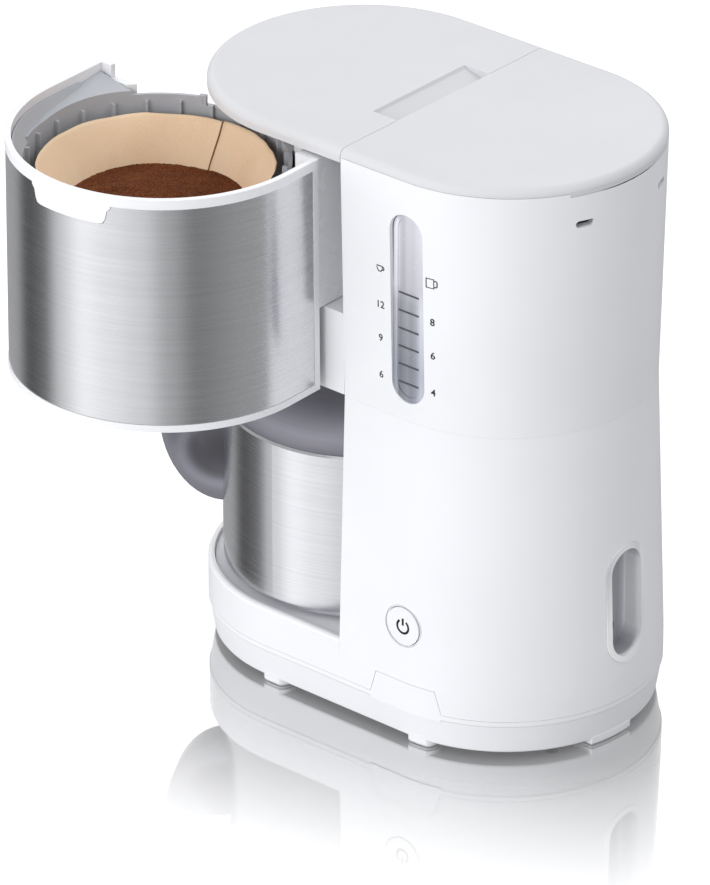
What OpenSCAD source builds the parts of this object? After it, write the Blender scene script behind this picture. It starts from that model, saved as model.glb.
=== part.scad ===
// Drip coffee maker with a swing-out filter basket and a steel thermal carafe.
// Millimetres. The origin is the middle of the oval footprint, on the surface it stands on.
// +Z is up, -Y is the carafe side, +X is the side with the water gauge and the switch.
// The basket is drawn closed, in line with the body, and is then turned open about its pivot.

/* [Body] */
// Overall height, feet included
total_h = 342.6; // [341:0.2:344]
// Half width at the top edge
top_r = 85; // [84.6:0.1:85.4]
// Half width at the waist seam
waist_r = 81.8; // [81.6:0.1:82.2]
// Half width just above the base
base_r = 87; // [86.6:0.1:87.4]
// Distance from the middle to the centre of each round end
end_y = 50.5; // [50:0.1:51]
// Wall thickness of the white housings
wall = 2.4; // [2.2:0.1:2.6]
// Height of the seam between the two housings
waist_z = 195; // [194:0.5:196]

/* [Basket] */
// How far the basket is swung open
basket_open = 91; // [80:1:91]
// Outer radius of the basket at its rim
basket_r = 85.6; // [85.2:0.1:85.8]
// Radius of the funnel mouth
funnel_r = 71; // [70:0.5:71.5]
// Radius of the paper filter at its top
paper_r = 65; // [63:0.5:66]

/* [Carafe] */
// Radius of the steel body
carafe_r = 80; // [79:0.2:80.4]
// Height at which the steel ends
carafe_top_z = 148; // [144:1:150]

/* [Water gauge] */
// Width of the gauge window
gauge_w = 22; // [18:1:24]
// Gap of a running fit, on the radius
fit = 0.05; // [0.02:0.01:0.09]

/* [Hidden] */
$fn = 96;
over = 0.1;
foot_h = 1.4;
pan_z = 4;
pan_top_z = 24.4;
band_z = 20.8;
bulge_z = 38;
seam_gap = 0.06;
front_y = 5.5;
deck_z = 45.8;
rim_z = 48;
cover_z = 335;
lid_seam_z = 338.1;
hinge_seam_z = 336.1;
edge_r = 4.4;
bay_y = -49;
bay_r = 82.5;
bay_wall = 2;
lid_axis = [0, 132.2, 337.4];

pivot = [77.6, -16];
basket_top_z = 333.8;
basket_low_z = 197.4;
basket_low_r = 86.4;
basket_far_y = -4.5;
strip_y = -26.1;
block_low_z = 196.2;
block_top_z = 244.6;
block_side_r = 6.4;
pin_r = 3;
funnel = [-4, -54];
mouth_z = 316.5;
lip_z = 321.5;
outlet_z = 212;
outlet_r = 9;
stop_hole_r = 7;

carafe_y = -48.5;
carafe_turn = -60;
foot_r = 70;
neck_r = 36;

gauge_y = 50;
gauge_low_z = 206;
gauge_high_z = 318;
button_y = 50;
button_z = 71.8;
button_r = 11.1;
tank_low_z = 176;
tank_high_z = 331;
tank_front_y = 24;
riser = [-71, 15];
cold = [52, 96];
heater_z = 22;
heater_ring_r = 52;

// ---------------------------------------------------------------- shared shapes

function mix(a, b, t) = a + (b - a) * t;

// Half width of the body at a height: widest above the base, narrowest at the waist.
function body_r(z) =
    z < bulge_z ? base_r
    : z < waist_z ? mix(base_r, waist_r, (z - bulge_z) / (waist_z - bulge_z))
    : mix(waist_r, top_r, (z - waist_z) / (lid_seam_z - waist_z));

// Radius of the closed basket at a height.
function skin_r(z) = mix(basket_low_r, basket_r, (z - basket_low_z) / (basket_top_z - basket_low_z));

// Outline of the body between two heights, inset by a distance.
function body_profile(z0, z1, inset) = concat(
    [[0, z0], [body_r(z0) - inset, z0]],
    [for (z = [bulge_z, waist_z]) if (z > z0 && z < z1) [body_r(z) - inset, z]],
    [[body_r(z1) - inset, z1], [0, z1]]);

// Outline of the rounded top edge, from the seam height to the top.
function top_profile(z0) = concat(
    [[0, z0], [body_r(z0), z0], [top_r, total_h - edge_r]],
    [for (a = [15:15:90]) [top_r - edge_r + edge_r * cos(a), total_h - edge_r + edge_r * sin(a)]],
    [[0, total_h]]);

function both_sides(points) = concat(points,
    [for (i = [len(points) - 2:-1:1]) [-points[i][0], points[i][1]]]);

// A profile from the axis outwards, swept round the oval footprint.
module oval(points) {
    translate([0, end_y, 0])
        rotate_extrude(angle = 180) polygon(points);
    translate([0, -end_y, 0]) rotate([0, 0, 180])
        rotate_extrude(angle = 180) polygon(points);
    translate([0, end_y, 0]) rotate([90, 0, 0])
        linear_extrude(height = 2 * end_y) polygon(both_sides(points));
}

// The same profile, but only behind the line y = front.
module rear_oval(points, front) {
    translate([0, end_y, 0])
        rotate_extrude(angle = 180) polygon(points);
    translate([0, end_y, 0]) rotate([90, 0, 0])
        linear_extrude(height = end_y - front) polygon(both_sides(points));
}

// The same profile, but only round the rear end.
module rear_end(points) {
    translate([0, end_y, 0]) rotate_extrude(angle = 180) polygon(points);
}

// The same profile, but only in front of the line y = back.
module front_oval(points, back) {
    translate([0, -end_y, 0]) rotate([0, 0, 180])
        rotate_extrude(angle = 180) polygon(points);
    translate([0, back, 0]) rotate([90, 0, 0])
        linear_extrude(height = back + end_y) polygon(both_sides(points));
}

module block(low, high) {
    translate(low) cube(high - low);
}

module rod(place, r, z0, z1) {
    translate([place[0], place[1], z0]) cylinder(r = r, h = z1 - z0);
}

// A cylinder along X.
module x_rod(y, z, r, x0, x1) {
    translate([x0, y, z]) rotate([0, 90, 0]) cylinder(r = r, h = x1 - x0);
}

// A cylinder along Y.
module y_rod(x, z, r, y0, y1) {
    translate([x, y1, z]) rotate([90, 0, 0]) cylinder(r = r, h = y1 - y0);
}

// An upright slot with round ends, cut along X.
module x_slot(y, z0, z1, w, x0, x1) {
    x_rod(y, z0 + w / 2, w / 2, x0, x1);
    x_rod(y, z1 - w / 2, w / 2, x0, x1);
    block([x0, y - w / 2, z0 + w / 2], [x1, y + w / 2, z1 - w / 2]);
}

// An upright slot with round ends, cut along Y.
module y_slot(x, z0, z1, w, y0, y1) {
    y_rod(x, z0 + w / 2, w / 2, y0, y1);
    y_rod(x, z1 - w / 2, w / 2, y0, y1);
    block([x - w / 2, y0, z0 + w / 2], [x + w / 2, y1, z1 - w / 2]);
}

// A flexible wire through a list of points, as one swept tube with eight sides.
module wire(points, r) {
    last = len(points) - 1;
    heading = [for (i = [0:last])
        let (d = points[min(i + 1, last)] - points[max(i - 1, 0)]) d / norm(d)];
    rings = [for (i = [0:last])
        let (s0 = cross(heading[i], [0.31, 0.17, 0.93]), s = s0 / norm(s0), t = cross(heading[i], s))
            for (k = [0:7]) points[i] + r * (cos(45 * k) * s + sin(45 * k) * t)];
    sides = [for (i = [0:last - 1]) for (k = [0:7])
        [8 * i + k, 8 * i + (k + 1) % 8, 8 * i + 8 + (k + 1) % 8, 8 * i + 8 + k]];
    polyhedron(rings, concat([[for (k = [7:-1:0]) k]], sides, [[for (k = [0:7]) 8 * last + k]]));
}

module swing() {
    translate([pivot[0], pivot[1], 0]) rotate([0, 0, basket_open])
        translate([-pivot[0], -pivot[1], 0]) children();
}

// Places a child drawn along +X from the carafe axis at the handle's heading.
module at_handle() {
    translate([0, carafe_y, 0]) rotate([0, 0, carafe_turn]) children();
}

// ---------------------------------------------------------------- base and housings

foot_places = [[76, -46], [-76, -46], [76, 58], [-76, 58], [0, 0]];
rear_foot_x = 8.5;
rear_foot_y = 122;
screw_places = [[60, -82], [-60, -82], [66, -2], [-66, -2], [34, 112], [-34, 112]];
tab_y = [28, 32, 71, 75];
tab_top_z = 38;

// The base rises into the side as a low tab with sloping ends.
module side_tab(grow) {
    for (side = [0, 1]) mirror([side, 0, 0])
        translate([70, 0, 0]) rotate([90, 0, 90]) linear_extrude(height = 30)
            polygon([[tab_y[0] - grow, pan_top_z - 6], [tab_y[0] - grow, pan_top_z],
                     [tab_y[1] - grow, tab_top_z + grow], [tab_y[2] + grow, tab_top_z + grow],
                     [tab_y[3] + grow, pan_top_z], [tab_y[3] + grow, pan_top_z - 6]]);
}

module foot_shapes(z0, z1, inset) {
    for (p = foot_places) rod(p, 9.5 - inset, z0, z1);
    block([rear_foot_x - 14.5 + inset, rear_foot_y - 9 + inset, z0],
          [rear_foot_x + 14.5 - inset, rear_foot_y + 16, z1]);
}

module base_pan() color("whitesmoke") {
    outer = [[0, pan_z], [83.2, pan_z], [83.8, pan_z + 0.8], [base_r - 0.6, band_z],
             [base_r, band_z + 1], [base_r, pan_top_z], [0, pan_top_z]];
    inner = [[0, pan_z + wall], [81.4, pan_z + wall], [base_r - 3.4, band_z],
             [base_r - 3.4, pan_top_z + over], [0, pan_top_z + over]];
    difference() {
        union() {
            difference() {
                oval(outer);
                oval(inner);
            }
            intersection() {
                oval([[0, foot_h], [84, foot_h], [84.3, pan_z + 2], [0, pan_z + 2]]);
                foot_shapes(foot_h, pan_z + 1.4, 0);
            }
            for (p = screw_places) rod(p, 5, pan_z, pan_top_z - 0.4);
            intersection() {
                side_tab(0);
                difference() {
                    oval(body_profile(pan_top_z - 4, tab_top_z + 1, 0));
                    oval(body_profile(pan_top_z - 5, tab_top_z + 2, wall));
                }
            }
        }
        for (p = screw_places) {
            rod(p, 2.1, pan_z - 2, pan_top_z);
            rod(p, 3.7, pan_z - 2, pan_top_z - 4);
        }
        for (i = [-4:4]) block([i * 9 - 2, 56, pan_z - over], [i * 9 + 2, 92, pan_z + wall + over]);
        for (i = [-3:3]) block([i * 9 - 2, -64, pan_z - over], [i * 9 + 2, -36, pan_z + wall + over]);
    }
}

module feet() color("gainsboro")
    intersection() {
        oval([[0, 0], [83, 0], [83.6, foot_h], [0, foot_h]]);
        foot_shapes(0, foot_h, 1);
    }

module base_screws() color("silver")
    for (p = screw_places) difference() {
        union() {
            rod(p, 3.4, pan_top_z - 6.4, pan_top_z - 4);
            rod(p, 1.75, pan_top_z - 4.2, pan_top_z + 10);
        }
        block([p[0] - 2.2, p[1] - 0.4, pan_top_z - 6.5], [p[0] + 2.2, p[1] + 0.4, pan_top_z - 5.4]);
        block([p[0] - 0.4, p[1] - 2.2, pan_top_z - 6.5], [p[0] + 0.4, p[1] + 2.2, pan_top_z - 5.4]);
    }

board_posts = [33, 64];

// A boss for a base screw, joined to the wall by an upright web.
module screw_boss(p, low) {
    middle = p[1] > end_y ? end_y : p[1] < -end_y ? -end_y : p[1];
    reach = norm([p[0], p[1] - middle]);
    rod(p, 4.6, low, low + 14);
    translate([0, middle, low]) rotate([0, 0, atan2(p[1] - middle, p[0])])
        block([reach + 3, -1, 0], [base_r - 1.2, 1, 12]);
}

module lower_housing() color("white") {
    low = pan_top_z + 0.2;
    top = waist_z - seam_gap / 2;
    difference() {
        union() {
            difference() {
                rear_oval(body_profile(low, top, 0), front_y);
                rear_oval(body_profile(low - 1, top + 1, wall), front_y - 1);
            }
            difference() {
                front_oval([[0, low], [base_r, low], [base_r, rim_z - 2], [base_r - 0.6, rim_z - 0.6],
                            [base_r - 1.8, rim_z], [0, rim_z]], front_y);
                front_oval([[0, low - 1], [84.6, low - 1], [84.6, deck_z - 2.6], [83, deck_z - 2.6],
                            [83, deck_z], [83.6, rim_z + over], [0, rim_z + over]], front_y + 1);
            }
            for (p = screw_places) screw_boss(p, low);
            for (y = board_posts) x_rod(y, 93, 2.5, 62, 83.2);
        }
        for (p = screw_places) rod(p, 1.75 + fit, low - 1, low + 12);
        side_tab(0.25);
        x_rod(button_y, button_z, button_r + 1.3, 70, 100);
        y_slot(0, 46, 117, 32, 110, 150);
    }
}

module carafe_deck() color("gainsboro")
    difference() {
        union() {
            front_oval([[0, deck_z - 2.4], [82.8, deck_z - 2.4], [82.8, deck_z], [0, deck_z]], front_y);
            rod([0, bay_y], bay_r - 0.4, deck_z - 2.4, deck_z);
        }
        rod([0, carafe_y], 40, deck_z - 0.9, deck_z + 1);
    }

// The curved wall of the carafe and basket bay, with a flat flange at each side.
module bay_liner() color("lightgray") {
    top = cover_z - 0.4;
    difference() {
        union() {
            difference() {
                rod([0, bay_y], bay_r + bay_wall, deck_z - 2.4, top);
                rod([0, bay_y], bay_r, deck_z - 3, top + 1);
                block([-100, -200, 0], [100, front_y, 400]);
            }
            for (side = [0, 1]) mirror([side, 0, 0])
                difference() {
                    block([59, front_y, deck_z - 2.4], [86, front_y + bay_wall, top]);
                    rod([0, bay_y], bay_r, deck_z - 3, top + 1);
                    difference() {
                        block([70, 0, 0], [100, 20, 400]);
                        rear_oval(body_profile(30, cover_z + 2, wall + 0.1), -5);
                    }
                }
        }
        block([-76, 0, 286], [-62, front_y + 0.8, 300]);
    }
}

knuckle_x = [-9.5, 5.4];

module upper_housing() color("white") {
    low = waist_z + seam_gap / 2;
    lip_r = waist_r - wall - 0.2;
    difference() {
        union() {
            difference() {
                rear_oval(body_profile(low, lid_seam_z - 0.25, 0), front_y);
                rear_oval(body_profile(low - 1, lid_seam_z + 1, wall), front_y - 1);
            }
            difference() {
                rear_oval([[0, waist_z - 5], [lip_r, waist_z - 5], [lip_r, low + 1],
                           [lip_r + 0.7, low + 1], [lip_r + 0.7, low + 6], [0, low + 6]],
                          front_y + bay_wall + 1);
                rear_oval([[0, waist_z - 6], [lip_r - 1.4, waist_z - 6],
                           [lip_r - 1.4, low + 7], [0, low + 7]], front_y - 1);
            }
            for (x = knuckle_x) fixed_knuckle(x);
        }
        difference() {
            union() {
                block([-40, 100, hinge_seam_z - 0.25], [40, 140, total_h]);
                lid_relief();
            }
            for (x = knuckle_x) fixed_knuckle(x);
        }
        x_slot(gauge_y, gauge_low_z, gauge_high_z, gauge_w, 70, 100);
        for (a = [-22, 22]) translate([0, end_y, 319]) rotate([0, 0, a])
            y_side_slot();
    }
}

// One of the two fixed knuckles of the tank lid's concealed hinge, on an arm from the wall.
module fixed_knuckle(x0) {
    difference() {
        union() {
            x_rod(lid_axis[1], lid_axis[2], 2.1, x0, x0 + 4.1);
            translate([x0, lid_axis[1], lid_axis[2]]) rotate([90, 0, 90]) linear_extrude(height = 4.1)
                polygon([[0, 0], [-1.5, -1.3], [-1.9, -3.9], [1.2, -3.9], [1.2, -6], [-2.6, -6],
                         [-4.5, -4.6], [-4.5, -2.6], [-1.9, -0.2]]);
        }
        x_rod(lid_axis[1], lid_axis[2], 1, x0 - 1, x0 + 6);
    }
}

// The round space that the rear edge of the lid turns in.
module lid_relief() {
    translate(lid_axis) rotate([0, 90, 0]) rotate_extrude()
        polygon([[0, -23.6], [1.6, -23.6], [2.2, -18], [3.1, -12], [3.6, -6], [3.8, 0],
                 [3.6, 6], [3.1, 12], [2.2, 18], [1.6, 23.6], [0, 23.6]]);
}

module y_side_slot() {
    for (x = [-3.6, 3.6]) y_rod(x, 0, 2, 70, 95);
    block([-3.6, 70, -2], [3.6, 95, 2]);
}

// ---------------------------------------------------------------- rear recess, hinge block

gland_x = 6;

module outlet_recess() color("silver") {
    outer_y = end_y + body_r(80);
    difference() {
        intersection() {
            union() {
                y_slot(0, 46.1, 116.9, 31.8, outer_y - 14, outer_y + 5);
                y_slot(0, 44.6, 118.4, 34.8, outer_y - 8, outer_y - wall - 3);
            }
            rear_oval(body_profile(30, 150, -0.5), front_y);
        }
        y_slot(0, 49.6, 113.4, 24.8, outer_y - 12, outer_y + 6);
        y_rod(gland_x, 64, 4.5, outer_y - 20, outer_y - 6);
    }
}

module cord_gland() color("dimgray") {
    outer_y = end_y + body_r(80);
    difference() {
        union() {
            y_rod(gland_x, 64, 4.4, outer_y - 22, outer_y - 8.4);
            y_rod(gland_x, 64, 6, outer_y - 12 + 0.05, outer_y - 9.4);
            y_rod(gland_x, 64, 6, outer_y - 18, outer_y - 14.1);
        }
        y_rod(gland_x, 64, 2.9, outer_y - 23, outer_y - 8);
    }
}

module hinge_block() color("white") {
    side = body_r(220) - 0.1;
    difference() {
        union() {
            block([66, pivot[1], block_low_z], [side, front_y - 0.05, block_top_z]);
            rod(pivot, side - pivot[0], block_low_z, block_top_z);
            block([66, pivot[1] - 3, block_low_z], [pivot[0], pivot[1] + 1, block_top_z]);
        }
        rod(pivot, pin_r, 226, block_top_z + 1);
        for (z = [206, 218]) y_rod(73, z, 2.2, -30, 20);
        for (z = [206, 218]) y_rod(73, z, 4, -30, -1.4);
    }
}

module block_screws() color("silver")
    for (z = [206, 218]) difference() {
        union() {
            y_rod(73, z, 3.8, -4, -1.4);
            y_rod(73, z, 2.1, -2, front_y - 0.1);
        }
        block([70.6, -4.5, z - 0.5], [75.4, -2.8, z + 0.5]);
        block([72.5, -4.5, z - 2.4], [73.5, -2.8, z + 2.4]);
    }

module pivot_pins() color("silver") {
    rod(pivot, pin_r, 226, 258);
    rod(pivot, pin_r, 322, cover_z + 1.4);
}

// ---------------------------------------------------------------- front cover and brewing head

recess_x = 38;

module cover_hollow(inset, z0, z1) {
    front_oval([[0, z0], [top_r - inset, z0], [top_r - inset, z1], [0, z1]], front_y - 2);
}

module finger_recess(grow) {
    translate([-recess_x - grow, 0, 0]) rotate([90, 0, 90])
        linear_extrude(height = 2 * (recess_x + grow))
            polygon([[-13 - grow, total_h + 1], [-11 - grow, total_h - 1.6 - grow],
                     [3 + grow, 337.4 - grow], [9, 337.4 - grow], [9, total_h + 1]]);
}

module front_cover() color("white")
    difference() {
        union() {
            difference() {
                front_oval(top_profile(cover_z), front_y - 0.5);
                cover_hollow(2.2, cover_z - 1, total_h - 2.2);
            }
            intersection() {
                front_oval(top_profile(cover_z + 1.6), front_y - 0.5);
                finger_recess(1.6);
                block([-60, -20, cover_z + 1.6], [60, front_y - 0.5, total_h]);
            }
            intersection() {
                front_oval(top_profile(cover_z + 1.6), front_y - 0.5);
                union() {
                    block([40, -6, cover_z + 1.6], [82.7, front_y - 0.5, total_h - 1]);
                    block([-60, -6, cover_z + 1.6], [-40, front_y - 0.5, total_h - 1]);
                }
            }
        }
        finger_recess(0);
        rod(pivot, pin_r, 330, cover_z + 4);
        block([riser[0] - 5.4, 3, cover_z - 1], [riser[0] + 5.4, 6, cover_z + 5.4]);
    }

module cover_underplate() color("lightgray")
    difference() {
        intersection() {
            cover_hollow(2.4, cover_z, cover_z + 1.5);
            block([-100, -150, cover_z], [100, front_y - 2, cover_z + 1.5]);
        }
        rod([0, -52], 27.2, cover_z - 1, cover_z + 3);
        rod(pivot, pin_r, cover_z - 1, cover_z + 3);
        block([riser[0] - 5.4, -5.6, cover_z - 1], [riser[0] + 5.4, 6, cover_z + 3]);
    }

module shower_head() color("gray")
    difference() {
        union() {
            rod([0, -52], 27, cover_z, cover_z + 2);
            rod([0, -52], 29.5, cover_z + 1.55, cover_z + 4.6);
        }
        rod([0, -52], 26, cover_z + 1.8, cover_z + 3.6);
        for (a = [0:30:330]) rod([20 * cos(a), -52 + 20 * sin(a)], 1.1, cover_z - 1, cover_z + 2.5);
        for (a = [0:60:300]) rod([10 * cos(a), -52 + 10 * sin(a)], 1.1, cover_z - 1, cover_z + 2.5);
        rod([0, -52], 1.1, cover_z - 1, cover_z + 2.5);
        block([-29.6, -56, cover_z + 2.2], [-20, -48, cover_z + 3.8]);
    }

duct_step_y = 4.6;

module brew_duct() color("silver")
    difference() {
        union() {
            block([riser[0] - 5, -56, cover_z + 1.9], [riser[0] + 5, duct_step_y, cover_z + 5]);
            block([riser[0] - 5, -57, cover_z + 1.9], [-29.7, -47, cover_z + 5]);
            block([riser[0] - 5, -5.2, cover_z + 0.2], [riser[0] + 5, duct_step_y, cover_z + 5]);
            block([riser[0] - 5, -5.2, cover_z + 0.2], [riser[0] + 5, riser[1] - 4, cover_z + 2.7]);
            rod(riser, 7, cover_z - 4.1, cover_z + 2.7);
        }
        block([riser[0] - 4, -55, cover_z + 2.6], [riser[0] + 4, duct_step_y - 1, cover_z + 4.2]);
        block([riser[0] - 4, -56, cover_z + 2.6], [-28, -48, cover_z + 4.2]);
        block([riser[0] - 3, -4.2, cover_z + 0.9], [riser[0] + 3, duct_step_y - 1, cover_z + 3]);
        block([riser[0] - 3, -4.2, cover_z + 0.9], [riser[0] + 3, riser[1] - 2, cover_z + 2]);
        rod(riser, 5.05, cover_z - 5, cover_z + 2);
    }

// ---------------------------------------------------------------- tank lid

lid_front_y = front_y - 0.2;

module tank_lid() color("white")
    difference() {
        union() {
            difference() {
                rear_oval(top_profile(lid_seam_z), lid_front_y);
                rear_oval([[0, lid_seam_z - 1], [top_r - 3.4, lid_seam_z - 1],
                           [top_r - 3.4, total_h - 2.2], [0, total_h - 2.2]], lid_front_y + 2.4);
            }
            intersection() {
                difference() {
                    rear_end(body_profile(hinge_seam_z, lid_seam_z + 1, 0));
                    rear_end(body_profile(hinge_seam_z - 1, lid_seam_z + 2, 5.4));
                }
                block([-39.75, 100, hinge_seam_z - 1], [39.75, 140, total_h - 1]);
            }
            difference() {
                rear_oval([[0, 333], [top_r - 9, 333], [top_r - 9, total_h - 2], [0, total_h - 2]], 37);
                rear_oval([[0, 332], [top_r - 10.8, 332], [top_r - 10.8, total_h], [0, total_h]], 38.8);
            }
            x_rod(lid_axis[1], lid_axis[2], 2.1, -5, 5);
        }
        for (x = knuckle_x) {
            x_rod(lid_axis[1], lid_axis[2], 2.6, x - 0.4, x + 4.5);
            block([x - 0.4, lid_axis[1] - 5.5, 330], [x + 4.5, lid_axis[1] + 2.3, lid_axis[2]]);
        }
        x_rod(lid_axis[1], lid_axis[2], 1 + fit, -12, 12);
    }

module lid_hinge_pin() color("silver")
    x_rod(lid_axis[1], lid_axis[2], 1, knuckle_x[0], -knuckle_x[0]);

// ---------------------------------------------------------------- water tank and gauge

// Outline of the tank, narrower at the foot to pass the seam's inner lip.
function tank_profile(inset, z0, z1) =
    let (low_r = waist_r - wall - 2.6 - inset, high_inset = wall + 1.2 + inset)
    [[0, z0], [low_r, z0], [low_r, 203], [body_r(205) - high_inset, 205], [body_r(z1) - high_inset, z1],
     [0, z1]];

module tank_solid(inset, z0, z1) {
    difference() {
        rear_oval(tank_profile(inset, z0, z1), tank_front_y + inset);
        rod([0, bay_y], bay_r + bay_wall + 1 + inset, z0 - 1, z1 + 1);
        block([67 - inset, gauge_y - 14 - inset, z0 - 1], [90, gauge_y + 14 + inset, z1 + 1]);
    }
}

module water_tank() color("lavender")
    difference() {
        union() {
            tank_solid(0, tank_low_z, tank_high_z);
            rod(cold, 7, tank_low_z - 8, tank_low_z + 1);
        }
        tank_solid(1.8, tank_low_z + 2, tank_high_z + 1);
        rod(cold, 5.2, tank_low_z - 9, tank_low_z + 3);
        x_rod(gauge_y, 190, 3.15, 60, 75);
        for (a = [-22, 22]) translate([0, end_y, 319]) rotate([0, 0, a]) y_side_slot();
    }

module tank_outlet_valve() color("dimgray")
    difference() {
        union() {
            rod(cold, 5.15, tank_low_z - 8.1, tank_low_z + 1);
            rod(cold, 6.9, tank_low_z - 20, tank_low_z - 8.05);
            rod(cold, 4, tank_low_z - 28, tank_low_z - 20);
        }
        rod(cold, 3.4, tank_low_z - 17, tank_low_z + 2);
        rod(cold, 2.2, tank_low_z - 29, tank_low_z - 16);
    }

tube_x = 73;

module gauge_window() color("lavender") {
    x1 = waist_r - 0.6;
    difference() {
        x_slot(gauge_y, gauge_low_z + fit, gauge_high_z - fit, gauge_w - 2 * fit, x1 - 1.6, x1);
        x_slot(gauge_y, gauge_low_z + 3, gauge_high_z - 3, gauge_w - 6, x1 - 0.5, x1 + 1);
    }
}

module gauge_marks() color("dimgray")
    for (i = [0:5]) translate([waist_r - 1.1, gauge_y - 7.4, 216.2 + i * 10.6])
        cube([0.35, 13.6, 0.9]);

module gauge_tube() color("lavender")
    difference() {
        union() {
            rod([tube_x, gauge_y], 4, 186, 325);
            x_rod(gauge_y, 190, 3.1, 64.4, tube_x);
        }
        rod([tube_x, gauge_y], 3.1, 187, 326);
        x_rod(gauge_y, 190, 2.2, 64, tube_x);
    }

module gauge_channel() color("silver")
    difference() {
        intersection() {
            block([67.3, gauge_y - 13.4, 202], [90, gauge_y + 13.4, 328]);
            rear_oval(body_profile(200, 330, wall), front_y);
        }
        block([68.3, gauge_y - 12.4, 203], [90, gauge_y + 12.4, 327]);
        rod([tube_x, gauge_y], 4.4, 200, 204);
    }

// ---------------------------------------------------------------- water path and heater

bend = 9.5;

// A straight sleeve over the heater tube, a bend, and a rise to the tank.
module cold_path(r, end) {
    y_rod(cold[0], heater_z, r, -4, cold[1] - bend);
    translate([cold[0], cold[1] - bend, heater_z + bend]) rotate([0, 90, 0])
        rotate_extrude(angle = 90) translate([bend, 0]) circle(r = r);
    rod(cold, r, heater_z + bend, end);
}

module cold_hose() color("lightgray")
    difference() {
        cold_path(6, tank_low_z - 20.1);
        cold_path(4, tank_low_z - 20.1);
    }

// The water tube below, the sheathed element above it, and the web that joins them.
module flow_heater() color("silver") {
    for (level = [[heater_z, 3.9, 5], [heater_z + 10.4, 4.2, -2]]) {
        translate([0, -end_y, level[0]]) rotate([0, 0, 180])
            rotate_extrude(angle = 180) translate([heater_ring_r, 0]) circle(r = level[1]);
        for (x = [-heater_ring_r, heater_ring_r])
            y_rod(x, level[0], level[1], -end_y, level[2]);
    }
    translate([0, -end_y, heater_z + 3]) rotate([0, 0, 180])
        rotate_extrude(angle = 180) translate([heater_ring_r - 1.2, 0]) square([2.4, 4.4]);
    for (x = [-heater_ring_r, heater_ring_r])
        block([x - 1.2, -end_y, heater_z + 3], [x + 1.2, -5, heater_z + 7.4]);
}

module heater_clips() color("gray")
    for (x = [-heater_ring_r, heater_ring_r]) {
        block([x - 9, -22, pan_z + wall], [x + 9, -14, heater_z - 4.2]);
        for (side = [-1, 1])
            block([x + side * 7.5 - 1.5, -22, heater_z - 4.3], [x + side * 7.5 + 1.5, -14, heater_z + 6]);
    }

module thermostat() color("gray") {
    x = -heater_ring_r;
    rod([x + 16, -30], 8, heater_z + 2, heater_z + 8);
    block([x + 1.2, -34, heater_z + 4], [x + 9, -26, heater_z + 6]);
    for (y = [-34, -26]) block([x + 14, y - 2, heater_z + 8], [x + 18, y + 2, heater_z + 13]);
}

module thermal_fuses() color("beige")
    for (y = [2, -46]) {
        y_rod(heater_ring_r - 8.5, heater_z + 5, 3, y - 9, y + 9);
        y_rod(heater_ring_r - 8.5, heater_z + 5, 0.8, y - 14, y + 14);
    }

// A sleeve over the heater tube, a bend outwards, a bend upwards, and the rise to the duct.
module riser_path(r, end) {
    x = -heater_ring_r;
    y_rod(x, heater_z, r, -4, riser[1] - bend);
    translate([x - bend, riser[1] - bend, heater_z])
        rotate_extrude(angle = 90) translate([bend, 0]) circle(r = r);
    translate([riser[0] + bend, riser[1], heater_z + bend]) rotate([90, 0, 0]) rotate([0, 0, 180])
        rotate_extrude(angle = 90) translate([bend, 0]) circle(r = r);
    rod(riser, r, heater_z + bend, end);
}

module riser_tube() color("lightgray")
    difference() {
        riser_path(5, cover_z + 0.6);
        riser_path(3.95, cover_z + 0.6);
    }

// ---------------------------------------------------------------- switch and electrics

button_x = body_r(button_z);

module power_button() color("white")
    difference() {
        union() {
            x_rod(button_y, button_z, button_r, button_x - 5, button_x + 0.3);
            x_rod(button_y, button_z, 3.4, button_x - 9, button_x - 4);
        }
        x_rod(button_y, button_z, button_r + 1, button_x + 0.1, button_x + 1);
        difference() {
            x_rod(button_y, button_z, button_r - 1.4, button_x - 6, button_x - 2.2);
            x_rod(button_y, button_z, 3.4, button_x - 9, button_x - 2);
        }
    }

module button_bezel() color("silver")
    difference() {
        union() {
            x_rod(button_y, button_z, button_r + 1.2, button_x - 6, button_x - 0.7);
            x_rod(button_y, button_z, button_r + 3.6, button_x - 6, button_x - wall - 1.6);
        }
        x_rod(button_y, button_z, button_r + 0.35, button_x - 7, button_x + 1);
    }

module button_spring() color("silver")
    for (i = [0:3]) translate([button_x - 8.4 + i * 1.5, button_y, button_z]) rotate([0, 90, 0])
        rotate_extrude() translate([4.8, 0]) circle(r = 0.35, $fn = 16);

module switch_block() color("dimgray")
    difference() {
        block([62, button_y - 11, button_z - 11], [button_x - 9.2, button_y + 11, button_z + 11]);
        x_rod(button_y, button_z, 3.6, button_x - 11, button_x - 8);
    }

module control_board() color("darkgreen") {
    block([60.4, 30, 50], [62, 82, 98]);
    block([48, 34, 54], [60.4, 50, 68]);
    block([50, 56, 54], [60.4, 76, 64]);
    for (y = [36, 46]) x_rod(y, 84, 4.5, 46, 60.4);
    block([56, 60, 84], [60.4, 76, 90]);
}

module terminal_block() color("ivory")
    difference() {
        block([-16, 88, pan_z + wall], [16, 102, 20]);
        for (x = [-10, 0, 10]) rod([x, 95], 2.6, 12, 21);
        for (x = [-10, 0, 10]) y_rod(x, 10, 2, 87, 103);
    }

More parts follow.
